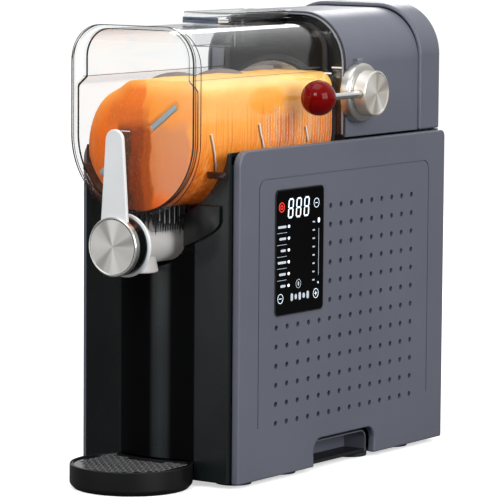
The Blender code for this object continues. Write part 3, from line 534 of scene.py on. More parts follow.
def span(side, a, b):
    """Two distances from the mid-plane on one side, in rising order."""
    return sorted((side * a, side * b))


PLANES = {"XY": (0, 1, 2), "XZ": (0, 2, 1), "YZ": (1, 2, 0)}


def lift(plane, loop, w):
    """The points of a loop in plane coordinates, at height w."""
    points = []
    for u, v in loop:
        values = [0.0] * 3
        for index, value in zip(PLANES[plane], (u, v, w)):
            values[index] = value
        points.append(at(*values))
    return points


def skin(bm, rows, ring=False, wrap=True):
    """Faces between neighbouring rows of points. A ring joins the last row to the first."""
    for a, b in zip(rows, rows[1:] + rows[:1] * ring):
        for i in range(len(a) if wrap else len(a) - 1):
            j = (i + 1) % len(a)
            bm.faces.new((a[i], a[j], b[j], b[i]))


def slab(name, plane, low, high, *loops):
    """Flat outlines (rim first, then holes) given thickness, as one mesh."""
    bm = bmesh.new()
    ends = []
    for w in (low, high):
        rows, edges = [], []
        for loop in loops:
            rows.append([bm.verts.new(p) for p in lift(plane, loop, w)])
            edges += [bm.edges.new(pair) for pair in zip(rows[-1], rows[-1][1:] + rows[-1][:1])]
        if len(loops) == 1:
            bm.faces.new(rows[0])
        else:
            bmesh.ops.triangle_fill(bm, use_beauty=True, use_dissolve=False, edges=edges)
        ends.append(rows)
    for pair in zip(*ends):
        skin(bm, pair)
    return closed(name, bm)


def strip(name, plane, low, high, inner, outer):
    """A ring between two outlines with the same number of points."""
    bm = bmesh.new()
    sections = ((inner, low), (outer, low), (outer, high), (inner, high))
    skin(bm, [[bm.verts.new(p) for p in lift(plane, loop, w)] for loop, w in sections], ring=True)
    return closed(name, bm)


def lathe(name, axis, centre, profile, steps=64):
    """A (radius, height) profile turned about an axis through centre, closed or from axis to axis."""
    bm = bmesh.new()
    first, second = [i for i in range(3) if i != axis]
    rows = []
    for k in range(steps):
        a = math.tau * k / steps
        row = []
        for r, h in profile:
            values = list(centre)
            values[axis] = h
            values[first] += r * math.cos(a)
            values[second] += r * math.sin(a)
            row.append(bm.verts.new(at(*values)))
        rows.append(row)
    skin(bm, rows, ring=True, wrap=profile[0][0] > 0)
    bmesh.ops.remove_doubles(bm, verts=bm.verts, dist=1e-7)
    bmesh.ops.dissolve_degenerate(bm, edges=bm.edges, dist=1e-7)
    return closed(name, bm)


def block(name, low, high, width=0.0, segments=3):
    """A box between two corners, with rounded edges where a width is given."""
    bm = bmesh.new()
    bmesh.ops.create_cube(bm, size=1.0)
    for v in bm.verts:
        v.co = at(*[(a + b) / 2 + c * (b - a) for a, b, c in zip(low, high, v.co)])
    obj = from_bm(name, bm)
    return bevel(obj, width, segments) if width else obj


def wire(name, points, radius):
    """A round strip of constant radius along machine-frame points."""
    curve = bpy.data.curves.new(name, "CURVE")
    curve.dimensions = "3D"
    curve.bevel_depth = radius * MM
    curve.bevel_resolution = 1
    curve.use_fill_caps = True
    spline = curve.splines.new("POLY")
    spline.points.add(len(points) - 1)
    for point, p in zip(spline.points, points):
        point.co = (*at(*p), 1.0)
    path = holder(name + "_path", curve)
    mesh = evaluated(path)
    bpy.data.objects.remove(path, do_unlink=True)
    return holder(name, mesh)


def merged(name, objs):
    """Several shapes as one mesh object."""
    bm = bmesh.new()
    for obj in objs:
        bm.from_mesh(obj.data)
        bpy.data.objects.remove(obj, do_unlink=True)
    return from_bm(name, bm)


def drills(name, plane, loops, low, high):
    """Many through cutters as one mesh, one for each outline."""
    bm = bmesh.new()
    for loop in loops:
        rows = [[bm.verts.new(p) for p in lift(plane, loop, w)] for w in (low, high)]
        for row in rows:
            bm.faces.new(row)
        skin(bm, rows)
    return closed(name, bm)


# ---------------------------------------------------------------- side panels


P_OUT, P_IN = 85.3, 77.7
P_FRONT, P_REAR, P_LOW, P_TOP = -167.8, 168.7, 3.9, 295.7


def panel_outline(inset):
    front, rear = P_FRONT + inset, P_REAR - inset
    low, top = P_LOW + inset, P_TOP - inset
    big, small = 14 - inset / 2, 6 - inset / 2
    notch = [(-48 - inset, low)] + arc(-37, 17, 12 + inset, 180, 90, 10)
    notch += arc(40, 17, 12 + inset, 90, 0, 10) + [(51 + inset, low)]
    return [(front, low), *notch, (rear, low)] + arc(rear - small, top - small, small, 0, 90, 8) + arc(
        front + big, top - big, big, 90, 180, 12)


def groove_outline(grow):
    """The inverted-U line pressed into the panel, as a closed narrow band."""
    y0, y1, top, radius = -138 - grow, 140 + grow, 268.8 + grow, 9 + grow
    return [(y1, 50), *arc(y1 - radius, top - radius, radius, 0, 90, 8),
            *arc(y0 + radius, top - radius, radius, 90, 180, 8), (y0, 50)]


def vents():
    """Round holes on a square grid, with no holes where the touch panel is."""
    pitch, rows, columns, panel_rows, panel_columns = 17.0, 12, 14, 6, 5
    return [circle((column - 6.5) * pitch, 238.5 - row * pitch, 2.5, 14)
            for row in range(rows) for column in range(panel_columns if row < panel_rows else 0, columns)]


def side_panel(name, side, node):
    obj = slab(name, "YZ", *span(side, P_IN, P_OUT - 0.01), panel_outline(0))
    bevel(obj, 1.6, 4, 35, even=False)
    cut(obj, slab("pocket", "YZ", *span(side, P_IN - 2, P_OUT - 3), panel_outline(3)))
    cut(obj, drills("vents", "YZ", vents(), *span(side, P_OUT - 4, P_OUT + 1)))
    band = groove_outline(0.55) + groove_outline(-0.55)[::-1]
    cut(obj, slab("groove", "YZ", *span(side, P_OUT - 0.9, P_OUT + 1), band))
    case_piece(weigh(obj), node)


side_panel("panel_right", 1, "side_panel_right")
side_panel("panel_left", -1, "side_panel_left")


# ---------------------------------------------------------------- front


COVER_FRONT, COVER_BACK, COVER_HALF, COVER_TOP = -173.5, -169.3, 77.4, 294.5
COLUMN_HALF, COLUMN_BULGE, CUT_R, TAP_Z = 40.0, 8.0, 74.0, 213.4
COLUMN_R = (COLUMN_HALF**2 + COLUMN_BULGE**2) / (2 * COLUMN_BULGE)
COLUMN_Y = COVER_FRONT - COLUMN_BULGE + COLUMN_R
RECESS_HALF, RECESS_DROP, LINER_TOP = 31.5, 22.0, 235.0


def column_front():
    """Plan points across the bulging column, left to right."""
    swing = math.degrees(math.asin(COLUMN_HALF / COLUMN_R))
    return arc(0, COLUMN_Y, COLUMN_R, -90 - swing, -90 + swing, 28)


def recess_outline(grow=0.0, top=250.0):
    """The upright slot with a rounded foot that the tap's barrel and neck pass through."""
    half, drop = RECESS_HALF + grow, RECESS_DROP + grow
    foot = [(u * half, TAP_Z + v * drop) for u, v in arc(0, 0, 1, 0, -180, 40)]
    return [(half, top), *foot, (-half, top)]


def make_cover():
    flare = [(COVER_HALF, COVER_TOP - 1.7), (COVER_HALF - 0.6, COVER_TOP), (COVER_HALF - 1.8, COVER_TOP)]
    flare += [(74.6, 289.5), (73.3, 283.5), (72.2, 278.5), (70.0, 274.0)]
    sweep = arc(0, AXIS_Z, CUT_R, -28.5, -151.5, 60)
    outline = [(-COVER_HALF, 5.0), (COVER_HALF, 5.0), *flare, *sweep, *[(-u, v) for u, v in reversed(flare)]]
    cover = bevel(slab("front_cover_plate", "XZ", COVER_FRONT, COVER_BACK, outline), 0.8, 3, 50, even=False)
    plan = column_front() + [(COLUMN_HALF, COVER_FRONT + 0.3), (-COLUMN_HALF, COVER_FRONT + 0.3)]
    column = slab("front_column", "XY", 23.0, 204.4, plan)
    right = [(8, 205.4), (16, 206.4), (24, 208.2), (32.4, 210.7), (41, 214.2), (50, 218.2), (56.5, 221.6)]
    right += [(62.9, 225.3), (66.5, 228.4), (69, 231.4), (70, 234.5), (70, 247.4), (69, 248.4)]
    lower = [(-u, v) for u, v in reversed(right)] + [(0, 205.0)] + right
    cowl = slab("cowl", "XZ", -176.4, COVER_FRONT - 0.05, lower + arc(0, AXIS_Z, CUT_R, -51.5, -128.5, 48))
    bevel(cowl, 0.9, 3, 30, even=False)
    for obj in (cover, column, cowl):
        cut(obj, slab("recess", "XZ", -200, -160, recess_outline()))
        weigh(obj)
    black_piece(cover, "front", "front_cover")
    black_piece(column, "front")
    black_piece(cowl, "black")
    walls = strip("recess_wall", "XZ", -169.2, -149.0, recess_outline(0.1, LINER_TOP),
                  recess_outline(1.4, LINER_TOP + 1))
    back = slab("recess_back", "XZ", -150.6, -149.1, recess_outline(0.2, LINER_TOP))
    black_piece(merged("recess_liner", [walls, back]), "inside")
    returns = []
    for side in (-1, 1):
        x0, x1 = span(side, 75.6, 77.2)
        returns.append(block("return", (x0, -169.4, 5.4), (x1, -140, 284.0), 0.3, 2))
    black_piece(merged("cover_returns", returns), "inside")


def make_cradle():
    inner, outer, top, low, shelf = CUT_R, CUT_R + 3, COVER_TOP - 0.5, COVER_TOP - 3.5, 77.2
    a, b = (math.degrees(math.asin((z - AXIS_Z) / r)) for z, r in ((top, inner), (low, outer)))
    outline = arc(0, AXIS_Z, inner, a, -180 - a, 60) + [(-shelf, top), (-shelf, low)]
    outline += arc(0, AXIS_Z, outer, -180 - b, b, 60) + [(shelf, low), (shelf, top)]
    trough = slab("cradle", "XZ", -169.0, 11.6, outline)
    cut(trough, block("notch", (-RECESS_HALF, -175, 215), (RECESS_HALF, -148, 245)))
    rails = []
    for angle in (-60, -120):
        rail = arc(0, AXIS_Z, 65.5, angle + 3, angle - 3, 5)
        rail += arc(0, AXIS_Z, inner + 1, angle - 3, angle + 3, 5)
        rails.append(bevel(slab("rail", "XZ", -135, 10, rail), 0.5, 2, 50))
    black_piece(merged("cradle_trough", [trough, *rails]), "inside", "vessel_cradle")


def make_grips():
    """The moulded finger pocket behind each panel's notch."""
    def outline(inset):
        left, right, radius, low, turn = -45.5 + inset, 48.5 - inset, 8.5 - inset, 4.6, 17
        top = arc(-37, turn, radius, 180, 90, 8) + arc(40, turn, radius, 90, 0, 8)
        return [(left, low), (left, turn), *top, (right, turn), (right, low)]

    for side, name in ((1, "grip_pocket_right"), (-1, "grip_pocket_left")):
        ring = strip(name, "YZ", *span(side, 54.0, 77.5), outline(1.2), outline(0))
        case_piece(merged(name, [ring, slab("back", "YZ", *span(side, 53.6, 54.6), outline(0))]))


make_cover()
make_cradle()
make_grips()


# ---------------------------------------------------------------- tower


LOCK = (0, 28.3, 337.2)


def arch(half, low, top, corner):
    return mirrored([(half, low)] + arc(half - corner, top - corner, corner, 0, 90, 16))


def make_tower():
    outer = arch(76.2, 297.0, 410.0, 47.0)
    inner = arch(73.2, 297.0, 407.0, 44.0)
    shell = slab("tower", "XZ", 12.0, 134.0, outer + inner[::-1])
    bevel(shell, 0.8, 3, 50, even=False)
    cut(shell, lathe("bore", 0, LOCK, [(0, 60), (8.4, 60), (8.4, 90), (0, 90)], 40))
    case_piece(weigh(shell), "tower_shell")
    cover = slab("tower_rear", "XZ", 134.3, 168.7, arch(78.6, 297.0, 413.98, 48.0))
    bevel(cover, 2.2, 5, 50, even=False)
    cut(cover, slab("hollow", "XZ", 129, 165.7, arch(75.6, 290.0, 411.0, 45.0)))
    case_piece(weigh(cover), "rear_cover")
    hole = arc(0, AXIS_Z, 42.4, 0, -354, 59)
    wall = slab("bulkhead", "XZ", 12.3, 15.3, arch(72.9, 238.0, 406.7, 43.7), hole)
    piece(wall, "shade", "chassis", "dark", ["tower_bulkhead"])
    boss = lathe("bulkhead_boss", 1, AXIS,
                 [(58.6, 12.2), (63.5, 12.2), (63.5, 10.6), (62.8, 9.9), (59.3, 9.9), (58.6, 10.6)], 72)
    piece(boss, "rubber", "chassis", "dark")


make_tower()


# ---------------------------------------------------------------- vessel


V_HALF, V_TOP, SHOULDER, STEP = 65.0, 400.0, 357.0, 9.5
V_BACK, PLATE_BACK, PLATE_FRONT = 8.0, -206.5, -210.0


def vessel_outline(offset):
    half = V_HALF - offset
    upper, corner = half - STEP, 26 - offset
    side = arc(0, AXIS_Z, half, -90, 0, 30)
    side += arc(half - 6.0, SHOULDER - 10.5 - offset, 6.0, 0, 42, 6)[1:]
    side += arc(upper + 3.0, SHOULDER + 1.6 - offset, 3.0, 222, 180, 4)
    return mirrored(side + arc(upper - corner, V_TOP - offset - corner, corner, 0, 90, 14))


def bowl(half, top, corner):
    return mirrored(arc(0, AXIS_Z, half, -90, 0, 40) + arc(half - corner, top - corner, corner, 0, 90, 16))


def leaning(points, shift):
    """The loop moved sideways, so that a strip inside it is heavier on one side."""
    return [(u + shift, v) for u, v in points]


def make_vessel():
    shell = strip("vessel_shell", "XZ", -206.4, V_BACK, vessel_outline(0.5), vessel_outline(0))
    cut(shell, block("mouth", (-22, -88, 390), (22, -11, 410)), solver="MANIFOLD")
    vessel_piece(shell, "clear", "vessel")
    plate = slab("vessel_front", "XZ", PLATE_FRONT, PLATE_BACK, bowl(66.0, 403.4, 32.0))
    vessel_piece(bevel(plate, 1.1, 3, 50))
    flange = bowl(66.2, 401.4, 32.0), bowl(69.7, 402.8, 35.0)
    vessel_piece(strip("vessel_flange", "XZ", -205.6, -203.0, *flange))
    lines = ((-210.1, -209.2, leaning(bowl(65.3, 402.9, 31.4), -0.5), bowl(66.05, 403.4, 32.0)),
             (-207.3, -206.7, bowl(65.6, 403.0, 31.6), bowl(66.0, 403.35, 32.0)),
             (-204.8, -204.1, bowl(69.3, 402.5, 34.7), bowl(69.72, 402.85, 35.0)),
             (-202.5, -201.8, leaning(vessel_outline(0.85), 0.55), vessel_outline(0)))
    vessel_piece(merged("vessel_edge_lines", [strip("edge", "XZ", *line) for line in lines]), "clear_edge")
    make_rear_rim()
    shoulders = [wire("shoulder", [(x, y, SHOULDER + 0.1) for y in (-205, -130, -60, 6)], radius)
                 for x, radius in ((-56.2, 0.5), (56.2, 0.18))]
    vessel_piece(merged("vessel_shoulder_lines", shoulders), "clear_line")
    make_ribs()
    make_neck()
    make_chute()


def rim_outline(inset):
    """The rear flange's edge, shaped like the tower's mouth and open below."""
    return arch(74.9 - inset, 300.0, 408.4 - inset, 45.4 - inset)


def make_rear_rim():
    def band(name, y0, y1, outer, inner):
        return slab(name, "XZ", y0, y1, rim_outline(outer) + rim_outline(inner)[::-1])

    vessel_piece(band("vessel_rear_rim", 8.3, 11.3, 0, 10.5))
    lines = [band("line", 8.1, 9.0, 0, 1.3), band("line", 10.6, 11.5, 0, 0.7)]
    vessel_piece(merged("vessel_rim_lines", lines), "clear_grey")
    vessel_piece(band("vessel_rim_seal", 10.0, 11.6, -1.0, -0.1), "silicone")
    web = [(-70.5, 344), (-58.5, 350), (-56.8, 375.5), (-70.5, 375.5)]
    vessel_piece(bevel(slab("vessel_rim_web", "XZ", 8.9, 9.9, web), 0.3, 2, 40), "clear_grey")
    # Two small ledges in milky white; the white is a painted highlight along each ledge.
    ledges = [block("ledge", (62.5, 8.0, 359.4), (73.5, 9.6, 360.8), 0.3, 2),
              block("ledge", (58, 2.0, 354.4), (66, 3.2, 355.8), 0.3, 2)]
    vessel_piece(merged("vessel_ledges", ledges), "clear_light")


def wall_point(side, z, out):
    """X at height z on one side of the vessel, a little outside its skin or (below 0) inside it."""
    dz = min(0.0, z - AXIS_Z)
    return side * math.sqrt((V_HALF + out) ** 2 - dz * dz)


def wander(*seed):
    """An uneven amount between -1 and 1 that's the same each run."""
    return noise.noise(Vector(seed))


def make_ribs():
    """Fine upright ribs moulded into the lower flanks, towards the tower, and a lug near the front. The ribs'
    milky white is a painted highlight.
    """
    ribs, lugs = [], []
    for side in (-1, 1):
        for index in range(27):
            y = -104 + index * 4.2
            drift = wander(index * 1.7, side, 0.0)
            points = [(wall_point(side, z, 0.05), y, z) for z in range(270, round(330 + drift * 10), 6)]
            ribs.append(wire("rib", points, 0.24 + 0.10 * drift))
        x0, x1 = span(side, 58.0, 76.9)
        lugs.append(block("lug", (x0, -179.2, 271.9), (x1, -173.9, 278), 0.9, 3))
    # Milky white ribs: painted highlights.
    vessel_piece(merged("vessel_ribs", ribs), "clear_white")
    vessel_piece(merged("vessel_lugs", lugs), "clear_lug")


def make_neck():
    half, shell_r, clear_r, foot = 20.2, 65.2, 18.6, 11
    top = math.degrees(math.acos(half / shell_r))
    low = math.degrees(math.asin(foot / clear_r))
    outline = [(half, TAP_Z + foot)] + arc(0, AXIS_Z, shell_r, -top, -180 + top, 24)
    outline += [(-half, TAP_Z + foot)] + arc(0, TAP_Z, clear_r, 180 - low, low, 24)
    vessel_piece(bevel(slab("vessel_neck", "XZ", -203.0, -152.3, outline), 0.8, 2, 40), "clear_neck")
    ribs, grooves = [], []
    for index in range(14):
        y = -202.0 + index * 3.6
        drip = 225.5 + 6.0 * wander(index * 0.93, 3.1, 0.4)
        for side in (-1, 1):
            profile = [(0, drip - 3.5), (0.5, drip), (1.35, drip + 6), (1.5, 246), (0, 246)]
            grooves.append(lathe("groove", 2, (side * (half + 0.05), y, 0), profile, 10))
            if index % 2:
                x0, x1 = span(side, half - 0.5, half + 0.5)
                ribs.append(block("rib", (x0, y + 1.5, drip + 5), (x1, y + 2.2, 246.0), 0.15, 1))
    for index in range(8):
        drip = 230 + 4.0 * wander(index * 1.3, 0.2, 2.0)
        profile = [(0, drip - 3), (0.5, drip), (1.3, drip + 5), (1.4, 243), (0, 243)]
        grooves.append(lathe("groove", 2, (-18.0 + index * 5.2, -203.0, 0), profile, 10))
    vessel_piece(merged("neck_ribs", ribs), "clear_light")
    vessel_piece(merged("neck_grooves", grooves), "clear_smoke")


def make_chute():
    """The square opening that the drink is poured in by, and the hinge block beside it."""
    half, y0, y1 = 24.0, -90.0, -9.0
    loops = round_rect(-half + 2, half - 2, y0 + 2, y1 - 2, 3), round_rect(-half, half, y0, y1, 4)
    vessel_piece(strip("fill_chute", "XY", 380.0, 402.2, *loops))
    edges = [strip("edge", "XY", low, high, *loops) for low, high in ((379.9, 380.7), (401.5, 402.3))]
    vessel_piece(merged("chute_edges", edges), "clear_line")
    profile = [(-10.4, 399), (-1.4, 399), (-1.4, 408.5), (-3.5, 411.4), (-8.5, 411.4), (-10.4, 409.5)]
    vessel_piece(bevel(slab("hinge_block", "YZ", -20, 20, profile), 0.8, 3, 25), "clear_line")


make_vessel()


def make_lid():
    x, y0, y1, z0, z1 = 26.0, -101.0, -12.4, 404.3, 411.5
    outer, inner = round_rect(-x, x, y0, y1, 5), round_rect(-x + 0.9, x - 0.9, y0 + 0.9, y1 - 0.9, 4)
    lid = bevel(slab("lid", "XY", z0, z1, outer), 1.0, 3, 50, even=False)
    cut(lid, slab("hollow", "XY", z0 - 3, z1 - 2, round_rect(-x + 2, x - 2, y0 + 2, y1 - 2, 3)))
    ears = [block("ear", (a, y1 - 1.0, z0), (b, -2, z1), 0.7, 2) for a, b in ((-x, -21), (21, x))]
    piece(weigh(merged("hatch_cover", [lid, *ears])), "clear", "hatch", "clear_plastic", ["hatch_lid"])
    rim = [strip("edge", "XY", low, high, inner, outer)
           for low, high in ((z0, z0 + 0.8), (z1 - 0.9, z1 - 0.1))]
    piece(merged("hatch_rim", rim), "clear_line", "hatch", "clear_plastic")
    profile = [(y0 + 0.1, 401.4), (y0 + 3.0, 401.4), (y0 + 3.4, 406.6), (y0 + 0.3, 406.9)]
    grip = bevel(slab("hatch_grip", "YZ", -25.6, 12.0, profile), 0.5, 2, 25)
    piece(grip, "clear_blue", "hatch", "clear_plastic")
    # A small white block on the lid's front edge: a painted glint.
    glint = block("hatch_painted_glint", (13.0, y0 + 0.3, 402.6), (21.5, y0 + 5, z0 + 1.6), 0.4, 2)
    piece(glint, "clear_light", "hatch", "clear_plastic")


make_lid()


# ---------------------------------------------------------------- slush and auger


SLUSH_R, SLUSH_TOP, SLUSH_MIDDLE = V_HALF - 0.8, 356.4, 302.0


def clamped(value):
    return max(0.0, min(1.0, value))


def slush_section():
    """The filled section: full width below, banked against the right wall, rounded on the left."""
    r, crown, turns = SLUSH_R, 50.1, 18
    points = arc(0, AXIS_Z, r, -90, 0, 30)
    points += [(r, AXIS_Z + k) for k in (8, 16, 24, 32)]
    points += arc(r - 14, SLUSH_TOP - 14, 14, 0, 90, 10)
    points += [(x, SLUSH_TOP) for x in (44, 36, 28, 20, 12, 5)]
    for k in range(1, turns + 1):
        turn = k * 6
        dip = 3.6 * math.exp(-(((turn - 32) / 18) ** 2))
        reach = crown + (r - crown) * (k / turns) ** 1.6 - dip
        a = math.radians(90 + turn)
        points.append((reach * math.cos(a), AXIS_Z + reach * math.sin(a)))
    return points + arc(0, AXIS_Z, r, -162, -95, 18)


BAR_ANGLE = math.radians(37.5)


def front_depth(x, z, scale):
    """Y of the slush's front face: full against the plate, rounded off at the upper left.

    The wiper bar's two arms lie in a shallow bed.
    """
    dz = z - AXIS_Z
    left, high = clamped((12 - x) / 50), clamped((z - 300) / 50)
    edge = max(0.0, scale - 0.35) / 0.65
    depth = -205.7 + 15.5 * max(left, 0.35 * high) * edge**2.4
    along = x * math.cos(BAR_ANGLE) + dz * math.sin(BAR_ANGLE)
    across = abs(-x * math.sin(BAR_ANGLE) + dz * math.cos(BAR_ANGLE) + 3.6)
    if 19 < abs(along) < 54 and across < 4.4:
        depth = max(depth, -202.6 - max(0.0, across - 2.6) * 1.8)
    return depth


def make_slush():
    """Rings of points, from the middle of the front face to its rim and on to the back."""
    section, mid = slush_section(), SLUSH_MIDDLE
    rings = [(k / 30, None) for k in range(1, 31)] + [(1.0, -189.5 + k * 4.0) for k in range(1, 50)]
    bm = bmesh.new()
    rows = []
    for scale, y in rings:
        row = []
        for u, v in section:
            x, z = u * scale, mid + (v - mid) * scale
            depth = front_depth(x, z, scale) if y is None else max(y, front_depth(u, v, 1.0) + 0.5)
            where = Vector((x, depth, z))
            lump = noise.noise(where * 0.045) + 0.4 * noise.noise(where * 0.13)
            z += 1.4 * lump * clamped((z - 330) / 20) * (0.6 if x > 45 else 1.0)
            row.append(bm.verts.new(at(x, min(depth, 7.4), z)))
        rows.append(row)
    skin(bm, rows)
    tip = bm.verts.new(at(0, -205.8, mid))
    for i in range(len(section)):
        bm.faces.new((tip, rows[0][(i + 1) % len(section)], rows[0][i]))
    bm.faces.new(rows[-1])
    bmesh.ops.remove_doubles(bm, verts=bm.verts, dist=2e-5)
    piece(closed("slush", bm), "slush", "vessel", None, angle=60)


def flight(name, inner, outer, thick, y0, y1, start, pitch):
    """A helical blade of rounded section about the auger's axis."""
    bm = bmesh.new()
    steps = round(abs(y1 - y0) / pitch * 64)
    half = thick / 2
    section = [(inner, -half * 1.3), (outer - 1.2, -half), (outer, -half * 0.4), (outer, half * 0.4),
               (outer - 1.2, half), (inner, half * 1.3)]
    rows = []
    for k in range(steps + 1):
        y = y0 + (y1 - y0) * k / steps
        a = math.radians(start) - math.tau * (y - y0) / pitch
        rows.append([bm.verts.new(at(r * math.cos(a), y + h, AXIS_Z + r * math.sin(a))) for r, h in section])
    skin(bm, rows)
    bm.faces.new(rows[0])
    bm.faces.new(rows[-1][::-1])
    return closed(name, bm)


def make_auger():
    blade = flight("auger_flight", 43.5, 54.0, 3.0, -200.0, -4.0, 41.0, 68.0)
    piece(blade, "auger", "auger", "auger_plastic", ["auger"], angle=50)
    bar = block("bar", (-51, -204.6, AXIS_Z - 6.2), (51, -199.4, AXIS_Z - 1.0), 1.2, 3)
    centre = at(*AXIS)
    bar.data.transform(Matrix.Translation(centre) @ Matrix.Rotation(-BAR_ANGLE, 4, "Y")
                       @ Matrix.Translation(-centre))
    profile = [(0, -205.2), (8.8, -205.2), (10, -204), (10, -191), (5.3, -191), (5.3, -200), (0, -200)]
    hub = lathe("hub", 1, AXIS, profile, 48)
    piece(merged("auger_wiper", [bar, hub]), "bar", "auger", "auger_plastic")
    profile = [(0, -199.9), (4.5, -199.9), (5, -199.4), (5, 49.5), (0, 49.5)]
    piece(lathe("auger_shaft", 1, AXIS, profile, 32), "steel", "auger", "stainless", ["drive_shaft"])


def make_glints():
    """Painted highlights of the blade edges where they pass close to the right wall: pale curved lines, each
    with a painted shadow line beside it.
    """
    routes = ([(-182, 311), (-179, 303), (-174.5, 293), (-169, 283), (-164, 275)],
              [(-109, 316), (-107, 308), (-103, 300), (-99.5, 292)],
              [(-36, 310), (-33.5, 302), (-31, 296)])
    pale, dark = [], []
    for route in routes:
        pale.append(wire("edge", [(wall_point(1, z, -0.35), y, z) for y, z in route], 0.8))
        dark.append(wire("shade", [(wall_point(1, z, -0.5), y - 1.9, z - 1) for y, z in route], 0.75))
    piece(merged("flight_edge_painted_glints", pale), "clear_light", "vessel", "auger_plastic")
    piece(merged("flight_shades", dark), "clear_line", "vessel", "auger_plastic")


make_slush()
make_auger()
make_glints()


# ---------------------------------------------------------------- tap


TAP = (0, 0, TAP_Z)


def turned(name, axis, centre, profile, steps, mat, body, slot, *nodes):
    """A turned piece that needs no more work."""
    return piece(lathe(name, axis, centre, profile, steps), mat, body, slot, nodes)


def make_tap():
    turned("tap_barrel", 1, TAP, [(0, -152), (12, -152.2), (15.8, -153), (17.6, -154.4), (18.3, -157),
                                  (18.3, -217.7), (15.3, -217.7), (15.3, -182), (0, -182)],
           72, "grey", "vessel", "grey_plastic", "tap_body")
    profile = [(0, 188.6), (16.0, 188.6), (16.9, 189.3), (17.0, 190.5), (16.4, 193), (15.6, 197),
               (15.0, 201), (14.4, 206), (0, 206)]
    spout = lathe("tap_spout", 2, (0, -199, 0), profile, 72)
    cut(spout, lathe("bore", 1, TAP, [(0, -220), (17.9, -220), (17.9, -180), (0, -180)], 48))
    cut(spout, lathe("flow", 2, (0, -195, 0), [(0, 180), (8, 180), (8, 240), (0, 240)], 40))
    piece(weigh(spout), "grey", "vessel", "grey_plastic")
    turned("tap_silver_ring", 1, TAP, [(6.4, -220.6), (26.8, -220.6), (27.6, -220.3), (28.0, -219.6),
                                       (28.0, -218.7), (27.5, -218.0), (6.4, -218.0)],
           88, "silver", "vessel", "silver_plastic", "tap_flange_ring")
    turned("tap_black_ring", 1, TAP, [(6.4, -231.6), (25.0, -231.6), (25.8, -230.9), (25.8, -221.5),
                                      (25.3, -220.9), (6.4, -220.9)],
           88, "black", "vessel", "black", "tap_spacer_ring")
    turned("tap_face_disc", 1, TAP, [(0, -237.55), (23.6, -237.55), (23.6, -236.1), (0, -236.1)],
           96, "tap_face", "tap_handle", "brushed_face", "tap_disc")
    turned("tap_face_rim", 1, TAP, [(23.6, -237.7), (24.3, -238.0), (25.3, -237.9), (25.7, -237.3),
                                    (24.9, -236.6), (23.6, -236.2)],
           96, "bright", "tap_handle", "brushed_face")
    turned("tap_disc_band", 1, TAP, [(23.6, -237.2), (25.6, -237.2), (26.0, -236.8), (26.0, -232.6),
                                     (25.6, -232.1), (23.6, -232.1)],
           96, "satin", "tap_handle", "brushed_face")
    right = arc(0, TAP_Z, 22, -90, -20, 8) + [(15.0, 228), (14.0, 236), (13.2, 247)]
    right += arc(0, 305.7, 9.2, 8, 90, 12)
    lever = bevel(slab("tap_handle_bar", "XZ", -235.7, -231.9, mirrored(right)), 0.9, 4, 50)
    piece(lever, "silver", "tap_handle", "silver_plastic", ["tap_lever"])
    glint = block("reflected_edge", (-11.5, -210.15, 311.2), (-1.8, -209.9, 312.0), 0.1, 1)
    vessel_piece(glint, "clear_light")


make_tap()


# ---------------------------------------------------------------- lock lever


ROD = (93, 0, 337.1)


def make_lock():
    turned("lock_collar", 0, LOCK, [(8.4, 76.5), (8.4, 86.0), (24.2, 86.0), (25.6, 85.4), (26.6, 84.2),
                                    (27, 82.6), (27, 76.5)],
           88, "chrome", "chassis", "silver_plastic", "lock_ring")
    hub = lathe("lock_knob", 0, LOCK, [(0, 86.3), (20.0, 86.3), (20.5, 86.9), (20.5, 98.2), (19.7, 98.95),
                                       (18.6, 99.0), (18.2, 98.5), (0, 98.5)], 96)
    cut(hub, lathe("socket", 1, ROD, [(0, 0), (3.55, 0), (3.55, 20.3), (0, 20.3)], 32))
    piece(weigh(hub), "lock_face", "lock_lever", "brushed_face", ["lock_hub"])
    turned("lock_stem", 1, ROD, [(0, -50.8), (3.25, -50.8), (3.25, 19.6), (2.9, 20.0), (0, 20.0)],
           32, "rod", "lock_lever", "rod_steel", "lock_rod")
    turned("lock_stem_collar", 1, ROD, [(3.3, -45.5), (4.4, -45.2), (4.4, -42.2), (3.3, -41.8)],
           32, "rod", "lock_lever", "rod_steel")
    r = (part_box("lock_ball")[1].x - at(ROD[0], 0, 0).x) / MM - 0.01
    turns = [math.radians(a) for a in range(0, 166, 5)]
    profile = [(r * math.sin(a), -58.6 - r * math.cos(a)) for a in turns]
    profile += [(4.2, -43.6), (3.6, -44.2), (3.6, -50.8), (0, -50.8)]
    ball = lathe("lock_knob_ball", 1, ROD, profile, 72)
    piece(ball, "red", "lock_lever", "red_ball", ["lock_ball"], angle=50)
    profile = [(76.6, 363.8), (81.4, 363.8), (82.4, 365.6), (81.0, 368.2), (76.6, 368.2)]
    tab = bevel(slab("lock_stop_tab", "XZ", 22.0, 30.0, profile), 0.5, 2, 25)
    piece(tab, "clear_neck", "chassis", "clear_plastic")


make_lock()


# ---------------------------------------------------------------- drip tray


TRAY_Y, TRAY_R, SLOT_PITCH, SLOT_HALF = -209.0, 54.0, 8.0, 2.3


def column_y(x):
    return COLUMN_Y - math.sqrt(COLUMN_R**2 - x * x) if abs(x) < COLUMN_HALF else COVER_FRONT


def behind(grow):
    """Outline of all that stands behind the tray, grown forwards."""
    plan = [(u, v - grow) for u, v in column_front()]
    return [(-100, -150), (-100, COVER_FRONT - grow), *plan, (100, COVER_FRONT - grow), (100, -150)]


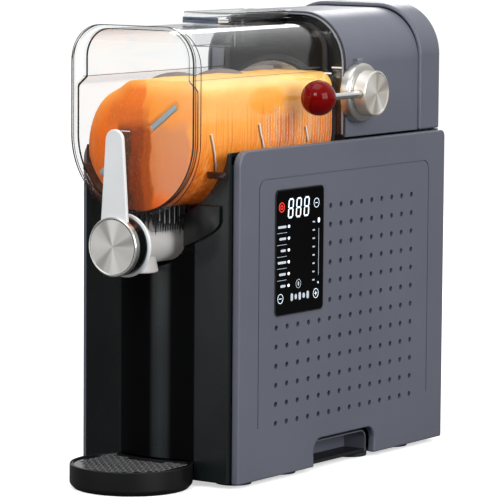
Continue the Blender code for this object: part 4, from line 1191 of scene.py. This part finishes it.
def slot_centres(radius):
    """The grille's square holes: a grid inside the rim, clear of the column."""
    centres = []
    for column in range(-6, 7):
        for row in range(-6, 4):
            x, y = column * SLOT_PITCH, TRAY_Y + row * SLOT_PITCH - 2
            reach = math.hypot(abs(x) + SLOT_HALF, abs(y - TRAY_Y) + SLOT_HALF)
            if reach <= radius - 3 and y + SLOT_HALF < column_y(x) - 5:
                centres.append((x, y))
    return centres


def make_tray():
    centre, grate_r = (0, TRAY_Y, 0), TRAY_R - 2.2
    tray = lathe("drip_cup", 2, centre, [(0, 3), (50, 3), (51, 4), (51, 17.6), (52.2, 17.6), (52.2, 20.9),
                                         (52.6, 21.5), (53.6, 21.5), (53.98, 20.9), (53.98, 5.0), (53.4, 3.6),
                                         (50.4, 0.3), (49.6, 0), (0, 0)], 120)
    cut(tray, slab("back", "XY", -2, 30, behind(0.7)))
    wall = [(u, v - 3.2) for u, v in column_front() if abs(u) < 38.6]
    wall += [(u, v + 2.3) for u, v in reversed(wall)]
    tray = merged("drip_bowl", [tray, slab("tray_back", "XY", 0.6, 21.3, wall)])
    piece(weigh(tray), "tray_black", "tray", "black", ["drip_tray"])
    centres = slot_centres(grate_r)
    plate = slab("drip_grate", "XY", 17.9, 20.3, circle(0, TRAY_Y, grate_r, 120))
    cut(plate, drills("slots", "XY", [box_outline(x, y, SLOT_HALF, 0.5) for x, y in centres], 15, 23))
    cut(plate, slab("back", "XY", 10, 30, behind(3.6)))
    piece(weigh(plate), "grille_black", "grille", "black", ["drip_grille"])
    # Pale rims round the slots: painted glints where the grille's edges catch the light.
    rims = [strip("rim", "XY", 20.1, 20.42, box_outline(x, y, SLOT_HALF, 0.2),
                  box_outline(x, y, SLOT_HALF + 0.5, 0.3)) for x, y in centres]
    piece(merged("slot_rims", rims), "grille_edge", "grille", "black")
    profile = [(50.6, 20.2), (51.6, 20.2), (51.6, 21.1), (51.0, 21.3), (50.6, 21.0)]
    lip = lathe("drip_grate_edge", 2, centre, profile, 120)
    cut(lip, slab("back", "XY", 10, 30, behind(3.6)))
    piece(lip, "grille_black", "grille", "black")


make_tray()


# ---------------------------------------------------------------- control panel


GLASS_X, GLASS_Y, GLASS_Z = 86.6, (-113.0, -39.0), (147.6, 257.7)
MARK_LOW, MARK_HIGH = GLASS_X - 0.02, GLASS_X + 0.12


def on_glass(u, v):
    """Machine (y, z) of a point given as a share of the glass's width and height."""
    return [low + (high - low) * share for (low, high), share in ((GLASS_Y, u), (GLASS_Z, v))]


def mark(name, *loops):
    return slab(name, "YZ", MARK_LOW, MARK_HIGH, *loops)


def bar_mark(u, v, w, h, radius=None):
    y, z = on_glass(u, v)
    return mark("bar", round_rect(y - w / 2, y + w / 2, z - h / 2, z + h / 2, radius or min(w, h) / 2.01, 4))


def ring_mark(u, v, radius, width):
    y, z = on_glass(u, v)
    inner, outer = circle(y, z, radius - width, 36), circle(y, z, radius, 36)
    return strip("ring", "YZ", MARK_LOW, MARK_HIGH, inner, outer)


def digit(u, v, width, height):
    """A seven-segment figure with all its segments lit."""
    y, z = on_glass(u, v)
    s, gap, lean = 0.75, 0.35, 0.09
    w, h = width / 2, height / 2
    shapes = []
    for zc in (-h + s, 0, h - s):
        a, b = w - s - gap, w - 2 * s - gap
        shapes.append([(-a, zc), (-b, zc - s), (b, zc - s), (a, zc), (b, zc + s), (-b, zc + s)])
    for yc in (-w + s, w - s):
        for z0, z1 in ((-h + s + gap, -gap), (gap, h - s - gap)):
            shapes.append([(yc, z0), (yc + s, z0 + s), (yc + s, z1 - s), (yc, z1), (yc - s, z1 - s),
                           (yc - s, z0 + s)])
    return [mark("segment", [(y + a + lean * b, z + b) for a, b in shape]) for shape in shapes]


def make_display():
    (y0, y1), (z0, z1) = GLASS_Y, GLASS_Z

    def outline(grow):
        return round_rect(y0 - grow, y1 + grow, z0 - grow, z1 + grow, 4.0 + grow, 8)

    glass = bevel(slab("touch_glass", "YZ", GLASS_X - 1, GLASS_X, outline(0)), 0.35, 3, 50)
    piece(glass, "glass", "chassis", "display_glass", ["control_glass"])
    edge = strip("touch_glass_frame", "YZ", 85.35, 86.35, outline(0.1), outline(0.9))
    piece(edge, "dark", "chassis", "dark")
    rows = [0.707 - index * 0.0953 for index in range(6)]
    white = [part for u in (0.295, 0.463, 0.631) for part in digit(u, 0.850, 8.2, 17.6)]
    white += [bar_mark(0.258, v, 3.4, 2.6) for v in rows]
    for u, v in ((0.845, 0.868), (0.087, 0.1315), (0.845, 0.130)):
        white += [ring_mark(u, v, 4.3, 0.45), bar_mark(u, v, 4.0, 0.6)]
    for bar in ((0.845, 0.130, 0.6, 4.0), (0.898, 0.724, 3.4, 4.6), (0.892, 0.2156, 1.8, 1.8)):
        white.append(bar_mark(*bar))
    dim = [bar_mark(0.898, 0.467, 0.4, 42.0)]
    dim += [bar_mark(0.790, 0.716 - index * 0.0677, 3.6, 1.3) for index in range(8)]
    for index, v in enumerate(rows):
        dim.append(bar_mark(0.115 + (index % 3) * 0.012, v, 13.0 - (index % 3) * 2.6, 2.2))
        if index < 5:
            dim.append(bar_mark(0.115, v - 0.0476, 15.0, 0.35, 0.15))
    dim += [ring_mark(0.468, 0.232, 4.0, 0.45), bar_mark(0.468, 0.232, 1.8, 3.8)]
    dim += [bar_mark(0.33 + index * 0.085, 0.13, 3.6, 7.0 - 2.2 * (index % 2)) for index in range(5)]
    y, z = on_glass(0.103, 0.866)
    red = [ring_mark(0.103, 0.866, 4.4, 0.6),
           mark("stem", round_rect(y - 0.35, y + 0.35, z + 0.2, z + 2.6, 0.3, 3)),
           mark("bend", arc(y, z, 2.1, 125, 415, 20) + arc(y, z, 1.5, 415, 125, 20))]
    for name, marks, mat in (("display_marks", white, "lit_white"), ("display_labels", dim, "lit_dim"),
                             ("display_power", red, "lit_red")):
        piece(merged(name, marks), mat, "chassis", "display_glass")


make_display()


# ---------------------------------------------------------------- parts kept from the model


KEPT = {
    "dark": ["base_plate"],
    "case": ["rear_panel"],
    "black": ["cable_gland", "compressor", "fan_shroud", "condenser_fan", "fan_motor"],
    "rubber": ["foot_right_front", "foot_right_rear", "foot_left_front", "foot_left_rear", "shaft_seal"],
    "screw": ["rear_screw_1", "rear_screw_2", "rear_screw_3", "rear_screw_4"],
    "silicone": ["vessel_gasket"],
    "steel": ["evaporator", "lock_spindle", "hatch_pin"],
    "alu": ["gearbox", "condenser"],
    "motor": ["gear_motor"],
    "copper": ["suction_line", "discharge_line", "liquid_line", "filter_drier"],
    "board": ["main_board", "control_board"],
    "grey": ["valve_plug"],
}
for key, names in KEPT.items():
    for name in names:
        node = NODES[name]
        node.data.materials.clear()
        node.data.materials.append(MATS[key])
        for polygon in node.data.polygons:
            polygon.use_smooth = True
        node.data.set_sharp_from_angle(angle=math.radians(32))


# ---------------------------------------------------------------- stage, light and camera


def make_stage():
    bm = bmesh.new()
    bmesh.ops.create_grid(bm, x_segments=1, y_segments=1, size=6.0)
    floor = from_bm("floor", bm)
    n = Nodes("floor_paper")
    seen = n.add("ShaderNodeLightPath").outputs["Is Camera Ray"]
    tone = n.mix(seen, (0.10, 0.10, 0.10), n.mix(n.noise(3.0, 3.0), (0.86, 0.86, 0.86), (0.90, 0.90, 0.90)))
    n.finish(tone, n.remap(n.noise(20.0, 2.0), 0.7, 0.9), Emission_Color=tone,
             Emission_Strength=n.times(seen, 0.62))
    floor.data.materials.append(n.mat)
    make_world()
    centre = at(0, -30, 250)
    softbox("front_strip", at(-533, -1352, 330), at(-533, -30, 330), (0.52, 1.2), 2.2)
    softbox("key", at(500, -2300, 1500), centre, (0.8, 0.8), 24)
    softbox("right", at(2100, -500, 900), centre, (1.4, 1.4), 33)
    softbox("top", at(0, -300, 1900), centre, (1.2, 1.2), 11)
    softbox("back", at(-940, 1930, 1250), at(0, -30, 350), (0.45, 1.1), 7.5)


def make_world():
    """White to the camera. As a light, dim in front near the horizon and brighter overhead and behind."""
    world = bpy.data.worlds.new("studio")
    n = Graph(world, "Background")
    _, depth, height = n.split("Generated")
    level = n.math("ADD", n.remap(height, 0.10, 0.55, 0.0, 0.6), n.remap(depth, 0.0, 0.5, 0.2, 0.8))
    seen = n.add("ShaderNodeLightPath").outputs["Is Camera Ray"]
    n.put(n.shader, Color=(1.0, 1.0, 1.0), Strength=n.remap(seen, level, 1.05))
    bpy.context.scene.world = world
    bpy.context.scene.view_settings.view_transform = "Standard"


def softbox(name, where, target, size, power):
    light = bpy.data.lights.new(name, "AREA")
    light.shape = "RECTANGLE"
    light.size, light.size_y = size
    light.energy = power
    lamp = holder(name, light)
    lamp.location = where
    lamp.rotation_mode = "QUATERNION"
    lamp.rotation_quaternion = (where - target).to_track_quat("Z", "Y")


def make_camera():
    """Long lens, from the right of the front and a little above the middle."""
    azimuth, elevation, roll = math.radians(34.77), math.radians(6.32), math.radians(0.43)
    back = Vector((math.sin(azimuth) * math.cos(elevation), -math.cos(azimuth) * math.cos(elevation),
                   math.sin(elevation)))
    right = Vector((0, 0, 1)).cross(back).normalized()
    up = back.cross(right)
    turned_right = right * math.cos(roll) + up * math.sin(roll)
    turned_up = up * math.cos(roll) - right * math.sin(roll)
    camera = bpy.data.cameras.new("camera")
    camera.sensor_width = 36.0
    camera.lens = 250.27
    camera.clip_start, camera.clip_end = 0.1, 50.0
    obj = holder("camera", camera)
    pose = Matrix((turned_right, turned_up, back)).transposed().to_4x4()
    pose.translation = at(1796.22, -2616.47, 541.62)
    obj.matrix_world = pose
    bpy.context.scene.camera = obj


make_stage()
make_camera()
